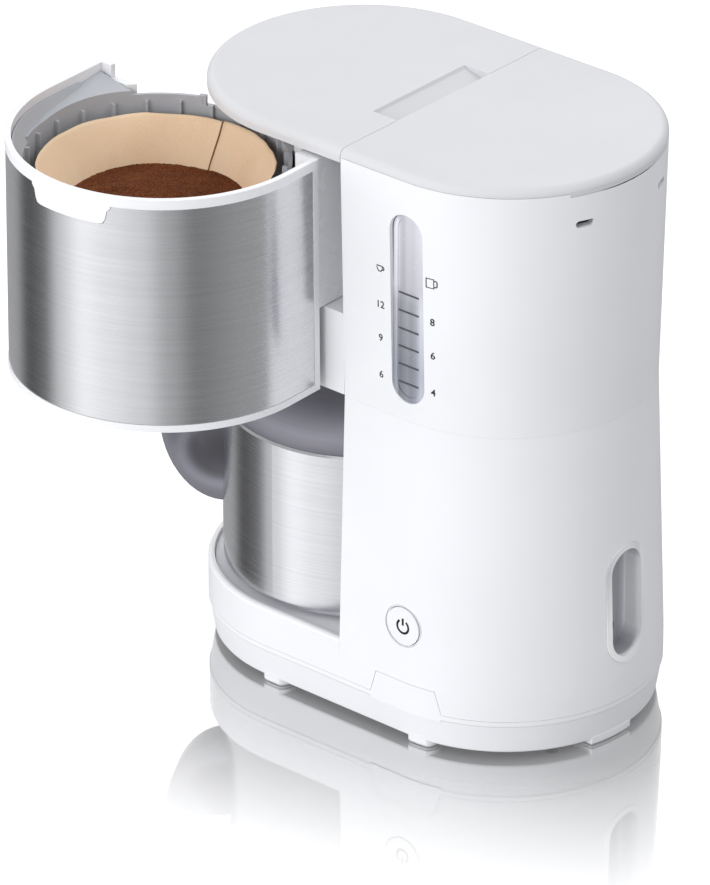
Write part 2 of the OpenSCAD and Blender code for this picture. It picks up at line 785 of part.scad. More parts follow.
module wiring() {
    x = heater_ring_r - 8.5;
    color("sienna") wire([[-10, 87.6, 10], [-10, 82, 10], [-18, 70, 12], [0, 60, 30], [30, 44, 56],
                          [42, 42, 60], [47.4, 42, 60]], 1.4);
    color("steelblue") wire([[0, 87.6, 10], [0, 82, 10], [6, 72, 15], [24, 65, 40], [42, 66, 57],
                             [49.4, 66, 57]], 1.4);
    color("yellowgreen") wire([[10, 87.6, 10], [10, 82, 10], [18, 70, 12], [22, 50, 12], [34, 10, 14],
                               [34, -16, 10]], 1.4);
    color("dimgray") wire([[56, 33.4, 60], [56, 31.6, 58], [50, 31, 46], [47, 27, 38], [x + 1, 21, 30],
                           [x, 16.6, heater_z + 5]], 1.2);
}

// ---------------------------------------------------------------- swing-out basket

// Plan of the closed basket, inset by a distance: a round front, a long far side,
// a short hinge side, and a back that bulges round the funnel.
module basket_plan(inset, hinge_y) {
    r = basket_r - inset;
    intersection() {
        union() {
            translate([0, -end_y]) circle(r = r);
            translate([-r, -end_y]) square([r, end_y + basket_far_y - inset]);
            translate([0, -end_y]) square([r, end_y + hinge_y - inset]);
        }
        union() {
            translate([-200, -300]) square([400, 300 + basket_far_y - inset]);
            translate([40, -300]) square([200, 300 + hinge_y - inset]);
            translate(funnel) circle(r = 77 - inset);
        }
    }
    translate(funnel) circle(r = 77 - inset);
}

module basket_prism(inset, hinge_y, z0, z1) {
    translate([0, 0, z0]) linear_extrude(height = z1 - z0) basket_plan(inset, hinge_y);
}

// Outline of the basket's wall between two heights, inset by a distance.
function band_profile(z0, z1, inset) =
    [[0, z0], [skin_r(z0) - inset, z0], [skin_r(z1) - inset, z1], [0, z1]];

module band_solid(z0, z1, inset) {
    front_oval(band_profile(z0, z1, inset), 5);
}

// The round front and straight sides between two heights, as a band of given inset.
module front_band(z0, z1, outer, inner) {
    difference() {
        band_solid(z0, z1, outer);
        band_solid(z0 - over, z1 + over, inner);
    }
}

// Everything of a band behind the ends of the basket's sides.
module beyond_sides(hinge_y) {
    block([-120, basket_far_y, 150], [0, 60, 400]);
    block([0, hinge_y, 150], [120, 60, 400]);
}

tab_heading = -86.6;

// Outline of the blank tab that hangs from the rim over the steel.
function tab_outline(grow) = both_sides([[0, 332], [26 + grow, 332], [26 + grow, 327],
    [24 + grow, 325], [23 + grow, 320.4], [21.6 + grow, 318 - grow], [19.4 + grow, 317.4 - grow],
    [0, 317.4 - grow]]);

module brand_tab(grow) {
    translate([0, -end_y, 0]) rotate([0, 0, tab_heading]) translate([70, 0, 0])
        rotate([90, 0, 90]) linear_extrude(height = 30) polygon(tab_outline(grow));
}

foot_band = 4;
rim_band = 5.4;
skin_seat = 1.5;
shell_wall = 3.4;

// The shallow seat of the steel, all round except at the rim, the ends and the tab.
module skin_groove() {
    low = basket_low_z + foot_band;
    high = basket_top_z - rim_band;
    difference() {
        front_oval([[0, low], [skin_r(low) + 3, low], [skin_r(low) + 3, high], [0, high]],
                   basket_far_y - 3.4);
        front_oval(band_profile(low - 1, high + 1, skin_seat), 5);
        block([0, strip_y - 4, 150], [120, 60, 400]);
        brand_tab(0);
    }
}

module shell_wall_ring() {
    difference() {
        front_oval(band_profile(basket_low_z, basket_top_z, 0), basket_far_y);
        front_oval(band_profile(basket_low_z - 1, basket_top_z + 1, shell_wall), 5);
        block([0, strip_y, 150], [120, 60, 400]);
        skin_groove();
    }
}

module basket_shell() color("white") swing() {
    split_z = block_top_z + 0.6;
    arm_top_z = basket_top_z - 0.6;
    difference() {
        union() {
            shell_wall_ring();
            // upper arm at the hinge side, open on the inside
            difference() {
                intersection() {
                    front_oval(band_profile(split_z, arm_top_z, 1), 5);
                    block([45, strip_y - 1, split_z - 1], [90, 3, 400]);
                }
                block([40, strip_y - 2, split_z + 3], [pivot[0] - 7, 0.6, 400]);
            }
            // back of the funnel's well
            difference() {
                rod(funnel, 77, basket_low_z, mouth_z - 1);
                block([-120, -200, 100], [120, -7, 400]);
                block([40, -16, 100], [120, 60, split_z]);
            }
            // closed end of the far side
            intersection() {
                front_oval(band_profile(basket_low_z, basket_top_z, 1), 5);
                block([-90, basket_far_y - 3.4, 150], [-75.5, basket_far_y, 400]);
            }
            block([-80, -9, basket_low_z], [-60, basket_far_y, 326]);
            rod(pivot, block_side_r, split_z, arm_top_z);
        }
        rod(funnel, 74.6, basket_low_z - 1, 400);
        rod(pivot, 4.5, split_z - 1, split_z + 13);
        rod(pivot, 4.5, basket_top_z - 13, basket_top_z + 1);
    }
}

module basket_skin() color("silver") swing()
    difference() {
        front_band(basket_low_z + 4.2, basket_top_z - 5.6, 0.35, 1.35);
        beyond_sides(strip_y - 4.2);
        brand_tab(0.25);
        block([-120, basket_far_y - 3.6, 150], [0, 60, 400]);
    }

module basket_floor() color("white") swing()
    difference() {
        union() {
            intersection() {
                band_solid(basket_low_z, basket_low_z + 2.4, 3.5);
                union() {
                    block([-90, -200, 150], [90, strip_y, 400]);
                    block([-90, -200, 150], [63, -9.1, 400]);
                    rod(funnel, 74.5, 150, 400);
                }
            }
            rod(funnel, 16, basket_low_z, basket_low_z + 6);
        }
        rod(funnel, stop_hole_r + fit, basket_low_z - 1, basket_low_z + 7);
        block([64, pivot[1] - 9, 150], [100, 60, 400]);
        difference() {
            rod(pivot, 13.2, 150, 400);
            block([-10, -200, 150], [62, 60, 400]);
        }
    }

module basket_bushes() color("beige") swing()
    for (z = [block_top_z + 0.6, basket_top_z - 12.6]) difference() {
        rod(pivot, 4.45, z, z + 12);
        rod(pivot, pin_r + fit, z - 1, z + 13);
    }

module basket_catch() color("white") swing() {
    block([-72, basket_far_y, 290], [-66, front_y - 1.1, 296]);
    for (z = [290, 296]) x_rod(front_y - 2, z, 0.8, -72, -66);
}

module latch_clip() color("silver")
    difference() {
        block([-75.5, front_y - 2.4, 286.4], [-62.5, front_y + 0.7, 299.6]);
        block([-74.6, front_y - 2.5, 287.3], [-63.4, front_y, 298.7]);
    }

// ---------------------------------------------------------------- filter insert, paper, coffee

module cone(z0, r0, z1, r1) {
    translate([funnel[0], funnel[1], z0]) cylinder(r1 = r0, r2 = r1, h = z1 - z0);
}

cone_top_z = 300;
shelf_z = 329;

module funnel_insert() color("lightsteelblue") swing() {
    difference() {
        union() {
            cone(outlet_z, outlet_r + 2, cone_top_z, funnel_r + 1);
            rod(funnel, funnel_r + 2, cone_top_z - 2, mouth_z);
            rod(funnel, outlet_r + 2, outlet_z - 1.6, outlet_z + 2);
            flange();
            raised_lip();
        }
        cone(outlet_z, outlet_r - 1, cone_top_z, funnel_r - 1.2);
        rod(funnel, funnel_r, cone_top_z, 400);
        rod(funnel, outlet_r - 2, outlet_z - 2, outlet_z + 4);
    }
    insert_ribs();
    for (a = [0:15:345]) translate([funnel[0], funnel[1], 0]) rotate([0, 0, a])
        block([funnel_r - 2.4, -0.9, cone_top_z + 1], [funnel_r + 0.4, 0.9, mouth_z + 1.6]);
}

// Flat flange that fills the basket round the funnel, and rises to the basket's wall.
module flange() {
    difference() {
        intersection() {
            band_solid(mouth_z - 3, shelf_z + 2, 3.9);
            union() {
                block([-90, -200, mouth_z - 3], [90, strip_y - 1.6, mouth_z]);
                block([-90, -100, mouth_z - 3], [-30, -10, mouth_z]);
                far_shelf();
                difference() {
                    block([-90, -200, mouth_z - 2], [90, strip_y - 1.6, shelf_z]);
                    front_oval([[0, mouth_z - 3], [skirt_foot_r, mouth_z - 3], [skirt_foot_r, mouth_z],
                                [81, shelf_z], [81, shelf_z + 3], [0, shelf_z + 3]], 5);
                }
            }
        }
        block([-90, -9.4, 300], [0, 60, 400]);
    }
    difference() {
        rod(funnel, 74.2, mouth_z - 3, mouth_z);
        block([-120, -200, 300], [-60, 60, 400]);
        block([45, -60, 300], [90, 60, 400]);
    }
}

skirt_foot_r = 75.4;

// The sloping ledge of the far side: high at the wall's end, falling inwards and forwards.
module far_shelf() {
    difference() {
        block([-90, -112, mouth_z - 1], [-30, -9.5, shelf_z + 1]);
        translate([-81.5, -9.5, shelf_z]) rotate([6, 13, 0]) translate([-20, -150, 0]) cube([110, 190, 40]);
    }
}

module raised_lip() {
    difference() {
        rod(funnel, funnel_r + 2, mouth_z - 2, lip_z);
        rod(funnel, funnel_r, mouth_z - 3, lip_z + 1);
        translate([funnel[0], funnel[1], 300]) rotate([0, 0, 8]) block([0, -100, 0], [100, 100, 60]);
        translate([funnel[0], funnel[1], 300]) rotate([0, 0, 20]) block([0, -2, 0], [100, 100, 60]);
        translate([funnel[0], funnel[1], 300]) rotate([0, 0, -40]) block([-30, -100, 0], [100, -20, 60]);
    }
    translate([funnel[0], funnel[1], 0]) rotate([0, 0, 110])
        block([funnel_r + 0.2, -2, mouth_z - 2], [funnel_r + 2.6, 2, lip_z + 0.8]);
}

// Upright ribs hold the paper off the wall.
module insert_ribs() {
    intersection() {
        difference() {
            cone(outlet_z + 2, outlet_r, cone_top_z + 12, funnel_r + 9);
            cone(outlet_z + 2, outlet_r - 2.4, cone_top_z + 12, funnel_r - 1.2 + 5.4);
            rod(funnel, outlet_r + 4, outlet_z, outlet_z + 20);
        }
        rod(funnel, funnel_r + 0.5, outlet_z, cone_top_z + 4);
        for (a = [0:15:345]) translate([funnel[0], funnel[1], outlet_z]) rotate([0, 0, a])
            block([0, -0.8, 0], [funnel_r + 1, 0.8, mouth_z]);
    }
}

paper_top_z = 314.5;
paper_low_z = 222;
grounds_z = 291;

module paper_filter() color("burlywood") swing()
    difference() {
        cone(paper_low_z, 12, paper_top_z, paper_r);
        cone(paper_low_z + 0.8, 11.6, paper_top_z + 0.1, paper_r - 0.75);
    }

module coffee_grounds() color("saddlebrown") swing() {
    slope = (paper_r - 12) / (paper_top_z - paper_low_z);
    r1 = 12 + slope * (grounds_z - paper_low_z) - 1.2;
    cone(paper_low_z + 1.2, 11.2, grounds_z, r1);
    cone(grounds_z, r1, grounds_z + 5, r1 * 0.55);
    cone(grounds_z + 5, r1 * 0.55, grounds_z + 7, 6);
}

// ---------------------------------------------------------------- drip stop

module drip_stop() color("gray") swing()
    difference() {
        union() {
            rod(funnel, stop_hole_r, basket_low_z - 4.2, basket_low_z + 4);
            rod(funnel, stop_hole_r + 2.4, basket_low_z + 6.2, basket_low_z + 8);
            rod(funnel, stop_hole_r - 2, basket_low_z + 3.9, basket_low_z + 7);
        }
        rod(funnel, 2.6, basket_low_z - 5, basket_low_z + 3);
        for (a = [0, 90]) translate([funnel[0], funnel[1], basket_low_z + 1.4]) rotate([0, 0, a])
            block([-stop_hole_r + 1.4, -1.2, 0], [stop_hole_r - 1.4, 1.2, 1.6]);
    }

module drip_stop_spring() color("silver") swing()
    for (i = [0:2]) translate([funnel[0], funnel[1], basket_low_z + 6.9 + 1.9 + i * 1.6 - 0.35])
        rotate_extrude() translate([5.4, 0]) circle(r = 0.4, $fn = 16);

// ---------------------------------------------------------------- carafe

module turned(points) {
    translate([0, carafe_y, 0]) rotate_extrude() polygon(points);
}

module carafe_shell() color("silver") {
    r = carafe_r;
    t = carafe_top_z;
    difference() {
        turned([[foot_r + 1, 48.4], [r - 2.4, 48.4], [r - 0.6, 49.4], [r, 51.6], [r, t - 1.6],
            [r - 1, t - 0.2], [r - 8, t + 1.6], [r - 8, t + 0.8], [r - 1.6, t - 1],
            [r - 0.8, t - 2.2], [r - 0.8, 51.8], [r - 1.2, 50.2], [r - 2.6, 49.2], [foot_r + 1, 49.2]]);
        handle_holes(1.5, r - 4, r + 1);
    }
}

module carafe_liner() color("gainsboro") {
    r = carafe_r - 6;
    t = carafe_top_z;
    turned([[0, 56], [r - 10, 56], [r - 3, 59], [r, 66], [r, t - 22], [r - 6, t - 8],
            [neck_r + 10, t + 1], [neck_r, t + 5], [neck_r, t + 16], [neck_r - 1, t + 16],
            [neck_r - 1, t + 4.4], [neck_r + 9.6, t], [r - 6.8, t - 9], [r - 1, t - 22.4],
            [r - 1, 66.4], [r - 3.8, 60], [r - 10.2, 57], [0, 57]]);
}

module carafe_foot() color("dimgray")
    difference() {
        turned([[0, 46.1], [foot_r - 1, 46.1], [foot_r, 47], [foot_r, 49.4], [foot_r + 6, 49.4],
                [foot_r + 6, 51.4], [0, 51.4]]);
        rod([0, carafe_y], foot_r - 8, 45, 47.2);
    }

dome_end = 73.2;
dome_middle = 36;

// Outline of the domed collar, from the steel's edge up to the lid's seat.
function dome(r, t) = concat([[r - 8, t + 1.7], [r - 1, t]],
    [for (i = [0:14]) let (a = i * dome_end / 14)
        [dome_middle + (r - 0.4 - dome_middle) * cos(a), t + 1.2 + 30.5 * sin(a)]]);

module spout_groove(r) {
    at_handle() translate([-carafe_r - 4, 0, carafe_top_z + 34]) rotate([0, 90, 0]) cylinder(r = r, h = 40);
}

module carafe_collar() color("dimgray") {
    r = carafe_r;
    t = carafe_top_z;
    difference() {
        union() {
            turned(concat(dome(r, t),
                [[neck_r + 12.6, t + 22], [neck_r + 0.1, t + 20], [neck_r + 0.1, t + 6], [neck_r + 2, t + 6],
                 [neck_r + 2, t + 18], [neck_r + 14.8, t + 20.2], [neck_r + 14.8, t + 27.4],
                 [r - 27.6, t + 26.6], [r - 18.8, t + 22.2], [r - 11.6, t + 16.9], [r - 6, t + 10],
                 [r - 3.2, t + 3.6], [r - 3.4, t + 2.8], [r - 8, t + 3.7]]));
            intersection() {
                turned(concat(dome(r, t), [[neck_r + 13.6, t + 8], [r - 8, t + 4]]));
                spout_groove(13.2);
            }
        }
        spout_groove(11);
    }
}

handle_w = 24;
handle_rim = 6.4;

// A quarter of an oval in the handle's plane, between two angles.
function quarter(z, a, b, start, end) =
    [for (i = [0:9]) let (t = mix(start, end, i / 9)) [80 + a * cos(t), z + b * sin(t)]];

handle_outline = concat(quarter(128, 35.4, 51.2, -90, 0), quarter(139, 35.4, 31, 4, 90),
                        [[66, 170], [66, 159]], quarter(141, 26.4, 18, 90, 4),
                        quarter(139, 26.4, 13, 0, -90), [[77, 126], [77, 76.8]]);
handle_pocket = concat(quarter(128, 35.4 - handle_rim, 51.2 - handle_rim - 1, -90, -22),
                       quarter(136, 23, 14.4, -24, -90));

module carafe_handle() color("dimgray")
    difference() {
        at_handle() translate([0, handle_w / 2, 0]) rotate([90, 0, 0])
            linear_extrude(height = handle_w) polygon(handle_outline);
        for (side = [-1, 1])
            at_handle() translate([0, side * handle_w / 2 + 5, 0]) rotate([90, 0, 0])
                linear_extrude(height = 10) polygon(handle_pocket);
        rod([0, carafe_y], carafe_r + 0.02, 40, carafe_top_z - 0.4);
        turned(concat(dome(carafe_r, carafe_top_z), [[0, carafe_top_z + 30.4], [0, carafe_top_z + 1.7]]));
        handle_holes(1.4 + fit, 74, carafe_r + 6.2);
    }

module handle_holes(r, x0, x1) {
    at_handle() for (z = [94, 106]) x_rod(0, z, r, x0, x1);
}

module handle_screws() color("silver") {
    handle_holes(1.4, carafe_r - 2.8, carafe_r + 6);
    handle_holes(2.6, carafe_r - 2.8, carafe_r - 1);
}

module carafe_lid() color("dimgray") {
    t = carafe_top_z;
    r = neck_r + 12;
    difference() {
        turned([[0, t + 5], [neck_r - 4, t + 5], [neck_r - 4, t + 20.6], [r, t + 22.6], [r, t + 30.8],
                [r - 4, t + 33.2], [r - 14, t + 37], [r - 24, t + 39.2], [21, t + 39.6],
                [19, t + 38.8], [15, t + 36.4], [0, t + 35.4]]);
        turned([[0, t + 7.4], [neck_r - 6.4, t + 7.4], [neck_r - 6.4, t + 25], [21, t + 27], [19, t + 33],
                [0, t + 33]]);
        for (a = [0:60:300]) rod([6 * cos(a), carafe_y + 6 * sin(a)], 1.4, t, t + 40);
        at_handle() block([24, -8.4, t + 29], [60, 8.4, t + 50]);
        at_handle() translate([lever_x, 10.5, lever_z]) rotate([90, 0, 0]) cylinder(r = 1, h = 21);
    }
}

module lid_seal() color("lightgray")
    turned([[neck_r - 3.9, carafe_top_z + 8], [neck_r - 1.4, carafe_top_z + 8.6],
            [neck_r - 1.4, carafe_top_z + 11], [neck_r - 3.9, carafe_top_z + 12]]);

lever_x = 29;
lever_z = carafe_top_z + 31.4;

module pour_lever() color("dimgray")
    at_handle() difference() {
        union() {
            translate([0, 7.8, 0]) rotate([90, 0, 0]) linear_extrude(height = 15.6)
                translate([lever_x, lever_z])
                    polygon([[-1.6, -1], [-1, 2.8], [10, 3.2], [24, 2.6], [36, 1], [44, -1.2],
                             [44.6, -3.6], [36, -1.6], [26, 0.2], [19, 1], [3, -1]]);
            translate([lever_x, 7.8, lever_z]) rotate([90, 0, 0]) cylinder(r = 2.2, h = 15.6);
        }
        translate([lever_x, 10, lever_z]) rotate([90, 0, 0]) cylinder(r = 1 + fit, h = 20);
    }

module lever_pin() color("silver")
    at_handle() translate([lever_x, 10.5, lever_z]) rotate([90, 0, 0]) cylinder(r = 1, h = 21);

// ---------------------------------------------------------------- drawing

base_pan();
feet();
base_screws();
lower_housing();
carafe_deck();
bay_liner();
upper_housing();
outlet_recess();
cord_gland();
hinge_block();
block_screws();
pivot_pins();
front_cover();
cover_underplate();
shower_head();
brew_duct();
tank_lid();
lid_hinge_pin();
water_tank();
tank_outlet_valve();
gauge_window();
gauge_tube();
gauge_marks();
gauge_channel();
cold_hose();
flow_heater();
heater_clips();
thermostat();
thermal_fuses();
riser_tube();
power_button();
button_bezel();
button_spring();
switch_block();
control_board();
terminal_block();
wiring();
basket_shell();
basket_skin();
basket_floor();
basket_bushes();
basket_catch();
latch_clip();
funnel_insert();
paper_filter();
coffee_grounds();
drip_stop();
drip_stop_spring();
carafe_shell();
carafe_liner();
carafe_foot();
carafe_collar();
carafe_handle();
handle_screws();
carafe_lid();
lid_seal();
pour_lever();
lever_pin();
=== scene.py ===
"""Looks, lights and camera for the drip coffee maker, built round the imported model."""

import math

import bmesh
import bpy
from mathutils import Matrix, Vector, noise


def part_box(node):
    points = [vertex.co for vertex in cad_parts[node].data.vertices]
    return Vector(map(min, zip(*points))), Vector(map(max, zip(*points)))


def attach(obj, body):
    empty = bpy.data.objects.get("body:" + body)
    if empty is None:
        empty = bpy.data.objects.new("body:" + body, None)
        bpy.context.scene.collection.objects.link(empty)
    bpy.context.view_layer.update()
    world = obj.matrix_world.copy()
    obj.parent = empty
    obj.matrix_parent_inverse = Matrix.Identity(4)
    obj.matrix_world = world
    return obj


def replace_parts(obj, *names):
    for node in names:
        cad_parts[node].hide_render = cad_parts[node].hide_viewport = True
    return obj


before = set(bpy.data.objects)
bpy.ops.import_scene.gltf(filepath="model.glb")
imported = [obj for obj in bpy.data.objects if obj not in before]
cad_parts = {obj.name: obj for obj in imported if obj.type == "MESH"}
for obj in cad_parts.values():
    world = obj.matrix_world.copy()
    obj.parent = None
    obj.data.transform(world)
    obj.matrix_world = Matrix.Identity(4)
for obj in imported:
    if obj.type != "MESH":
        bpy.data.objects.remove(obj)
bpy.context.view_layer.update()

# ---------------------------------------------------------------- where things are


def middle(node):
    """The middle of a node's box."""
    low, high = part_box(node)
    return (low + high) / 2


funnel = middle("coffee_grounds")
BUTTON = middle("power_button")
BUTTON_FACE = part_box("power_button")[1].x
# The upright axes of the open basket and of the carafe.
basket_axis = Vector((0.11345, -0.09299, 0))
carafe_axis = Vector((0, -0.0485, 0))
# The carafe's radius, and the two arcs of its grip: how far each stands off the steel, the height of its
# middle, and how far it reaches down. The first is the outer bow, the second the finger gap.
CARAFE_R = 0.080
BOW_REACH, BOW_Z, BOW_DROP = 0.0354, 0.128, 0.0512
GAP_REACH, GAP_Z, GAP_DROP = 0.0264, 0.139, 0.013
# The way the paper's seam faces.
SEAM = math.radians(187)
# The heights where the taper of the housings changes, each with the half width there.
TAPER = [(0.0, 0.087), (0.038, 0.087), (0.195, 0.0818), (0.3381, 0.085), (0.35, 0.085)]
# Past this Y the sides round off towards the back.
END_Y = 0.0505


def body_half_width(z):
    """Half width of the housings at a height."""
    for (z0, r0), (z1, r1) in zip(TAPER, TAPER[1:]):
        if z <= z1:
            return r0 + (r1 - r0) * (z - z0) / (z1 - z0)
    return TAPER[-1][1]


def side_x(y, z):
    """Where the +X side's outer surface lies at (y, z)."""
    r = body_half_width(z)
    return r if y <= END_Y else math.sqrt(r * r - (y - END_Y) ** 2)


# ---------------------------------------------------------------- materials


class Nodes:
    """A node tree, with short calls for the nodes that materials and light share."""

    def __init__(self, tree):
        self.tree = tree
        tree.nodes.clear()

    def node(self, kind, values=None, **facts):
        made = self.tree.nodes.new(kind)
        for key, value in facts.items():
            setattr(made, key, value)
        for key, value in (values or {}).items():
            made.inputs[key].default_value = value
        return made

    def link(self, a, b):
        self.tree.links.new(a, b)

    def feed(self, value, socket):
        """Puts a number, a colour or another node's output into a socket."""
        if isinstance(value, bpy.types.NodeSocket):
            self.link(value, socket)
        else:
            socket.default_value = value

    def split(self, vector):
        """The X, Y and Z of a vector."""
        n = self.node("ShaderNodeSeparateXYZ")
        self.link(vector, n.inputs[0])
        return tuple(n.outputs)

    def reach(self, vector, scale):
        """The length of a vector, its X, Y and Z scaled first."""
        stretch = self.node("ShaderNodeMapping", {"Scale": scale})
        self.link(vector, stretch.inputs["Vector"])
        n = self.node("ShaderNodeVectorMath", operation="LENGTH")
        self.link(stretch.outputs[0], n.inputs[0])
        return n.outputs["Value"]

    def math(self, operation, a, b=None):
        n = self.node("ShaderNodeMath", operation=operation)
        self.feed(a, n.inputs[0])
        if b is not None:
            self.feed(b, n.inputs[1])
        return n.outputs[0]

    def blended(self, a, b, share):
        """So much of a number, and the rest of another."""
        return self.math("ADD", self.math("MULTIPLY", a, share), self.math("MULTIPLY", b, 1 - share))

    def range(self, value, low, high, start=0.3, end=0.7, kind="LINEAR"):
        """A value that goes from start to end, spread over low to high."""
        n = self.node("ShaderNodeMapRange", {1: start, 2: end, 3: low, 4: high}, interpolation_type=kind)
        self.link(value, n.inputs[0])
        return n.outputs[0]

    def share(self, value, start, end, kind="LINEAR"):
        """How far a value is on its way from start to end."""
        return self.range(value, 0.0, 1.0, start, end, kind)

    def ramp(self, value, stops, kind="LINEAR"):
        n = self.node("ShaderNodeValToRGB")
        n.color_ramp.interpolation = kind
        while len(n.color_ramp.elements) < len(stops):
            n.color_ramp.elements.new(0.5)
        for element, (at, colour) in zip(n.color_ramp.elements, stops):
            element.position = at
            element.color = (*colour, 1)
        self.link(value, n.inputs["Fac"])
        return n.outputs["Color"]

    def greys(self, value, stops):
        return self.ramp(value, [(at, (level, level, level)) for at, level in stops])

    def mix(self, share, a, b, blend="MIX"):
        """Colour a with a share of colour b over it."""
        n = self.node("ShaderNodeMix", data_type="RGBA", blend_type=blend)
        for value, socket in ((share, 0), (a, 6), (b, 7)):
            self.feed(value, n.inputs[socket])
        return n.outputs[2]


class Shader(Nodes):
    """A principled material with short calls for what feeds it."""

    def __init__(self, name):
        self.material = bpy.data.materials.new(name)
        self.material.use_nodes = True
        super().__init__(self.material.node_tree)
        self.bsdf = self.node("ShaderNodeBsdfPrincipled")
        self.out = self.node("ShaderNodeOutputMaterial")
        self.link(self.bsdf.outputs[0], self.out.inputs["Surface"])
        self.place = self.node("ShaderNodeTexCoord").outputs["Object"]

    def set(self, **values):
        for key, value in values.items():
            self.bsdf.inputs[key.replace("_", " ")].default_value = value
        return self

    def noise(self, scale, detail=2.0, place=None, rough=0.5):
        n = self.node("ShaderNodeTexNoise", {"Scale": scale, "Detail": detail, "Roughness": rough})
        self.link(place or self.place, n.inputs["Vector"])
        return n.outputs["Fac"]

    def paint(self, colour):
        self.link(colour, self.bsdf.inputs["Base Color"])

    def tint(self, value, dark, light, start=0.3, end=0.7):
        """Colours the surface between two tones."""
        self.paint(self.ramp(value, [(start, dark), (end, light)]))

    def roughen(self, value, low, high, start=0.3, end=0.7):
        self.link(self.range(value, low, high, start, end), self.bsdf.inputs["Roughness"])

    def bump(self, height, strength, distance, before=None):
        n = self.node("ShaderNodeBump", {"Strength": strength, "Distance": distance})
        self.link(height, n.inputs["Height"])
        if before is not None:
            self.link(before, n.inputs["Normal"])
        self.link(n.outputs[0], self.bsdf.inputs["Normal"])
        return n.outputs[0]


def toned(colour, factor):
    """A colour made darker or brighter, with no part above 1."""
    return tuple(min(1.0, c * factor) for c in colour)


def shaded(s, share, stops):
    """Paints light and shade: multiplies a material's colour by a grey ramp."""
    before = s.bsdf.inputs["Base Color"].links[0].from_socket
    s.paint(s.mix(1.0, before, s.greys(share, stops), "MULTIPLY"))


# The heights of the dome over which its painted shade runs.
DOME_LOW, DOME_HIGH = 0.149, 0.179
# The middle height and the upward reach of the grip's painted light.
GRIP_PAINTED_LIGHT_Z, GRIP_PAINTED_LIGHT_REACH = 0.108, 0.0312


def dome_painted_shade(s):
    """Painted shade: darker towards the lid, and in the shadow line just over the steel."""
    share = s.share(s.split(s.place)[2], DOME_LOW, DOME_HIGH)
    return share, [
        (0.0, 0.50), (0.10, 0.66), (0.27, 0.86), (0.48, 0.74), (0.70, 0.54), (0.9, 0.43), (1.0, 0.42)]


def grip_painted_light(s):
    """Painted light along the outer bow of the grip, and painted shade darker towards the carafe."""
    away = s.node("ShaderNodeVectorMath", {1: carafe_axis}, operation="SUBTRACT")
    s.link(s.place, away.inputs[0])
    off_axis = s.reach(away.outputs[0], (1.0, 1.0, 0.0))
    across = s.math("DIVIDE", s.math("SUBTRACT", off_axis, CARAFE_R), BOW_REACH)
    height = s.split(away.outputs[0])[2]
    above = s.math("DIVIDE", s.math("SUBTRACT", height, GRIP_PAINTED_LIGHT_Z), GRIP_PAINTED_LIGHT_REACH)
    squares = s.math("ADD", s.math("MULTIPLY", across, across), s.math("MULTIPLY", above, above))
    return s.math("SQRT", squares), [
        (0.0, 0.15), (0.22, 0.18), (0.38, 0.26), (0.46, 0.29), (0.51, 0.38), (0.55, 0.50), (0.61, 0.76),
        (0.67, 0.87), (0.72, 0.78), (0.78, 0.65), (0.85, 0.57), (1.0, 0.55)]


def plastic(name, colour, rough, spread=0.015, grain=0.05, grain_scale=1800.0, specular=0.5, shade=None):
    """Moulded plastic: slow drift of tone, a fine spark texture and uneven gloss; with shade, painted light
    and shade over its colour.
    """
    s = Shader(name).set(Specular_IOR_Level=specular)
    s.tint(s.noise(11.0, 3.0), toned(colour, 1 - spread), toned(colour, 1 + spread), 0.35, 0.65)
    s.roughen(s.noise(70.0), rough - 0.025, rough + 0.025)
    flow = s.bump(s.noise(26.0, 1.0), 0.06, 0.0006)
    s.bump(s.noise(grain_scale), grain, 0.00006, flow)
    if shade:
        shaded(s, *shade(s))
    return s.material


def brushed(name, axis, radius, colour, rough, level=1.0):
    """Steel brushed round an upright axis: long fine lines that run round the part."""
    s = Shader(name).set(Metallic=1.0, Anisotropic=0.55, Anisotropic_Rotation=0.25)
    x, y, z = s.split(s.place)
    turn = s.math("ARCTAN2", s.math("SUBTRACT", y, axis.y), s.math("SUBTRACT", x, axis.x))
    around = s.math("MULTIPLY", turn, radius)

    def unrolled(per_metre_round, per_metre_up):
        place = s.node("ShaderNodeCombineXYZ")
        s.link(s.math("MULTIPLY", around, per_metre_round), place.inputs[0])
        s.link(s.math("MULTIPLY", z, per_metre_up), place.inputs[2])
        return place.outputs[0]

    lines = s.noise(1.0, 3.0, unrolled(22.0, 2600.0), 0.65)
    bands = s.noise(1.0, 2.0, unrolled(9.0, 520.0))
    s.tint(s.blended(lines, bands, 0.6), toned(colour, 1 - 0.10 * level), toned(colour, 1 + 0.07 * level))
    s.roughen(lines, rough - 0.05, rough + 0.07)
    tangent = s.node("ShaderNodeTangent", direction_type="RADIAL", axis="Z")
    s.link(tangent.outputs[0], s.bsdf.inputs["Tangent"])
    s.bump(lines, 0.16 * level, 0.00004)
    return s.material


def metal(name, colour, rough, scale=400.0):
    """Plain fixings and springs, with a turned or drawn surface."""
    s = Shader(name).set(Metallic=1.0)
    s.tint(s.noise(scale, 3.0), toned(colour, 0.86), toned(colour, 1.08))
    s.roughen(s.noise(scale * 0.3), rough - 0.06, rough + 0.08)
    s.bump(s.noise(scale * 4), 0.12, 0.00005)
    return s.material


def clear(name, colour, rough, transmission):
    """Clear moulded plastic with slight flow lines."""
    s = Shader(name).set(IOR=1.46, Transmission_Weight=transmission)
    s.tint(s.noise(30.0), toned(colour, 0.98), toned(colour, 1.02))
    s.roughen(s.noise(120.0), rough - 0.03, rough + 0.03)
    s.bump(s.noise(60.0, 1.0), 0.05, 0.0003)
    return s.material


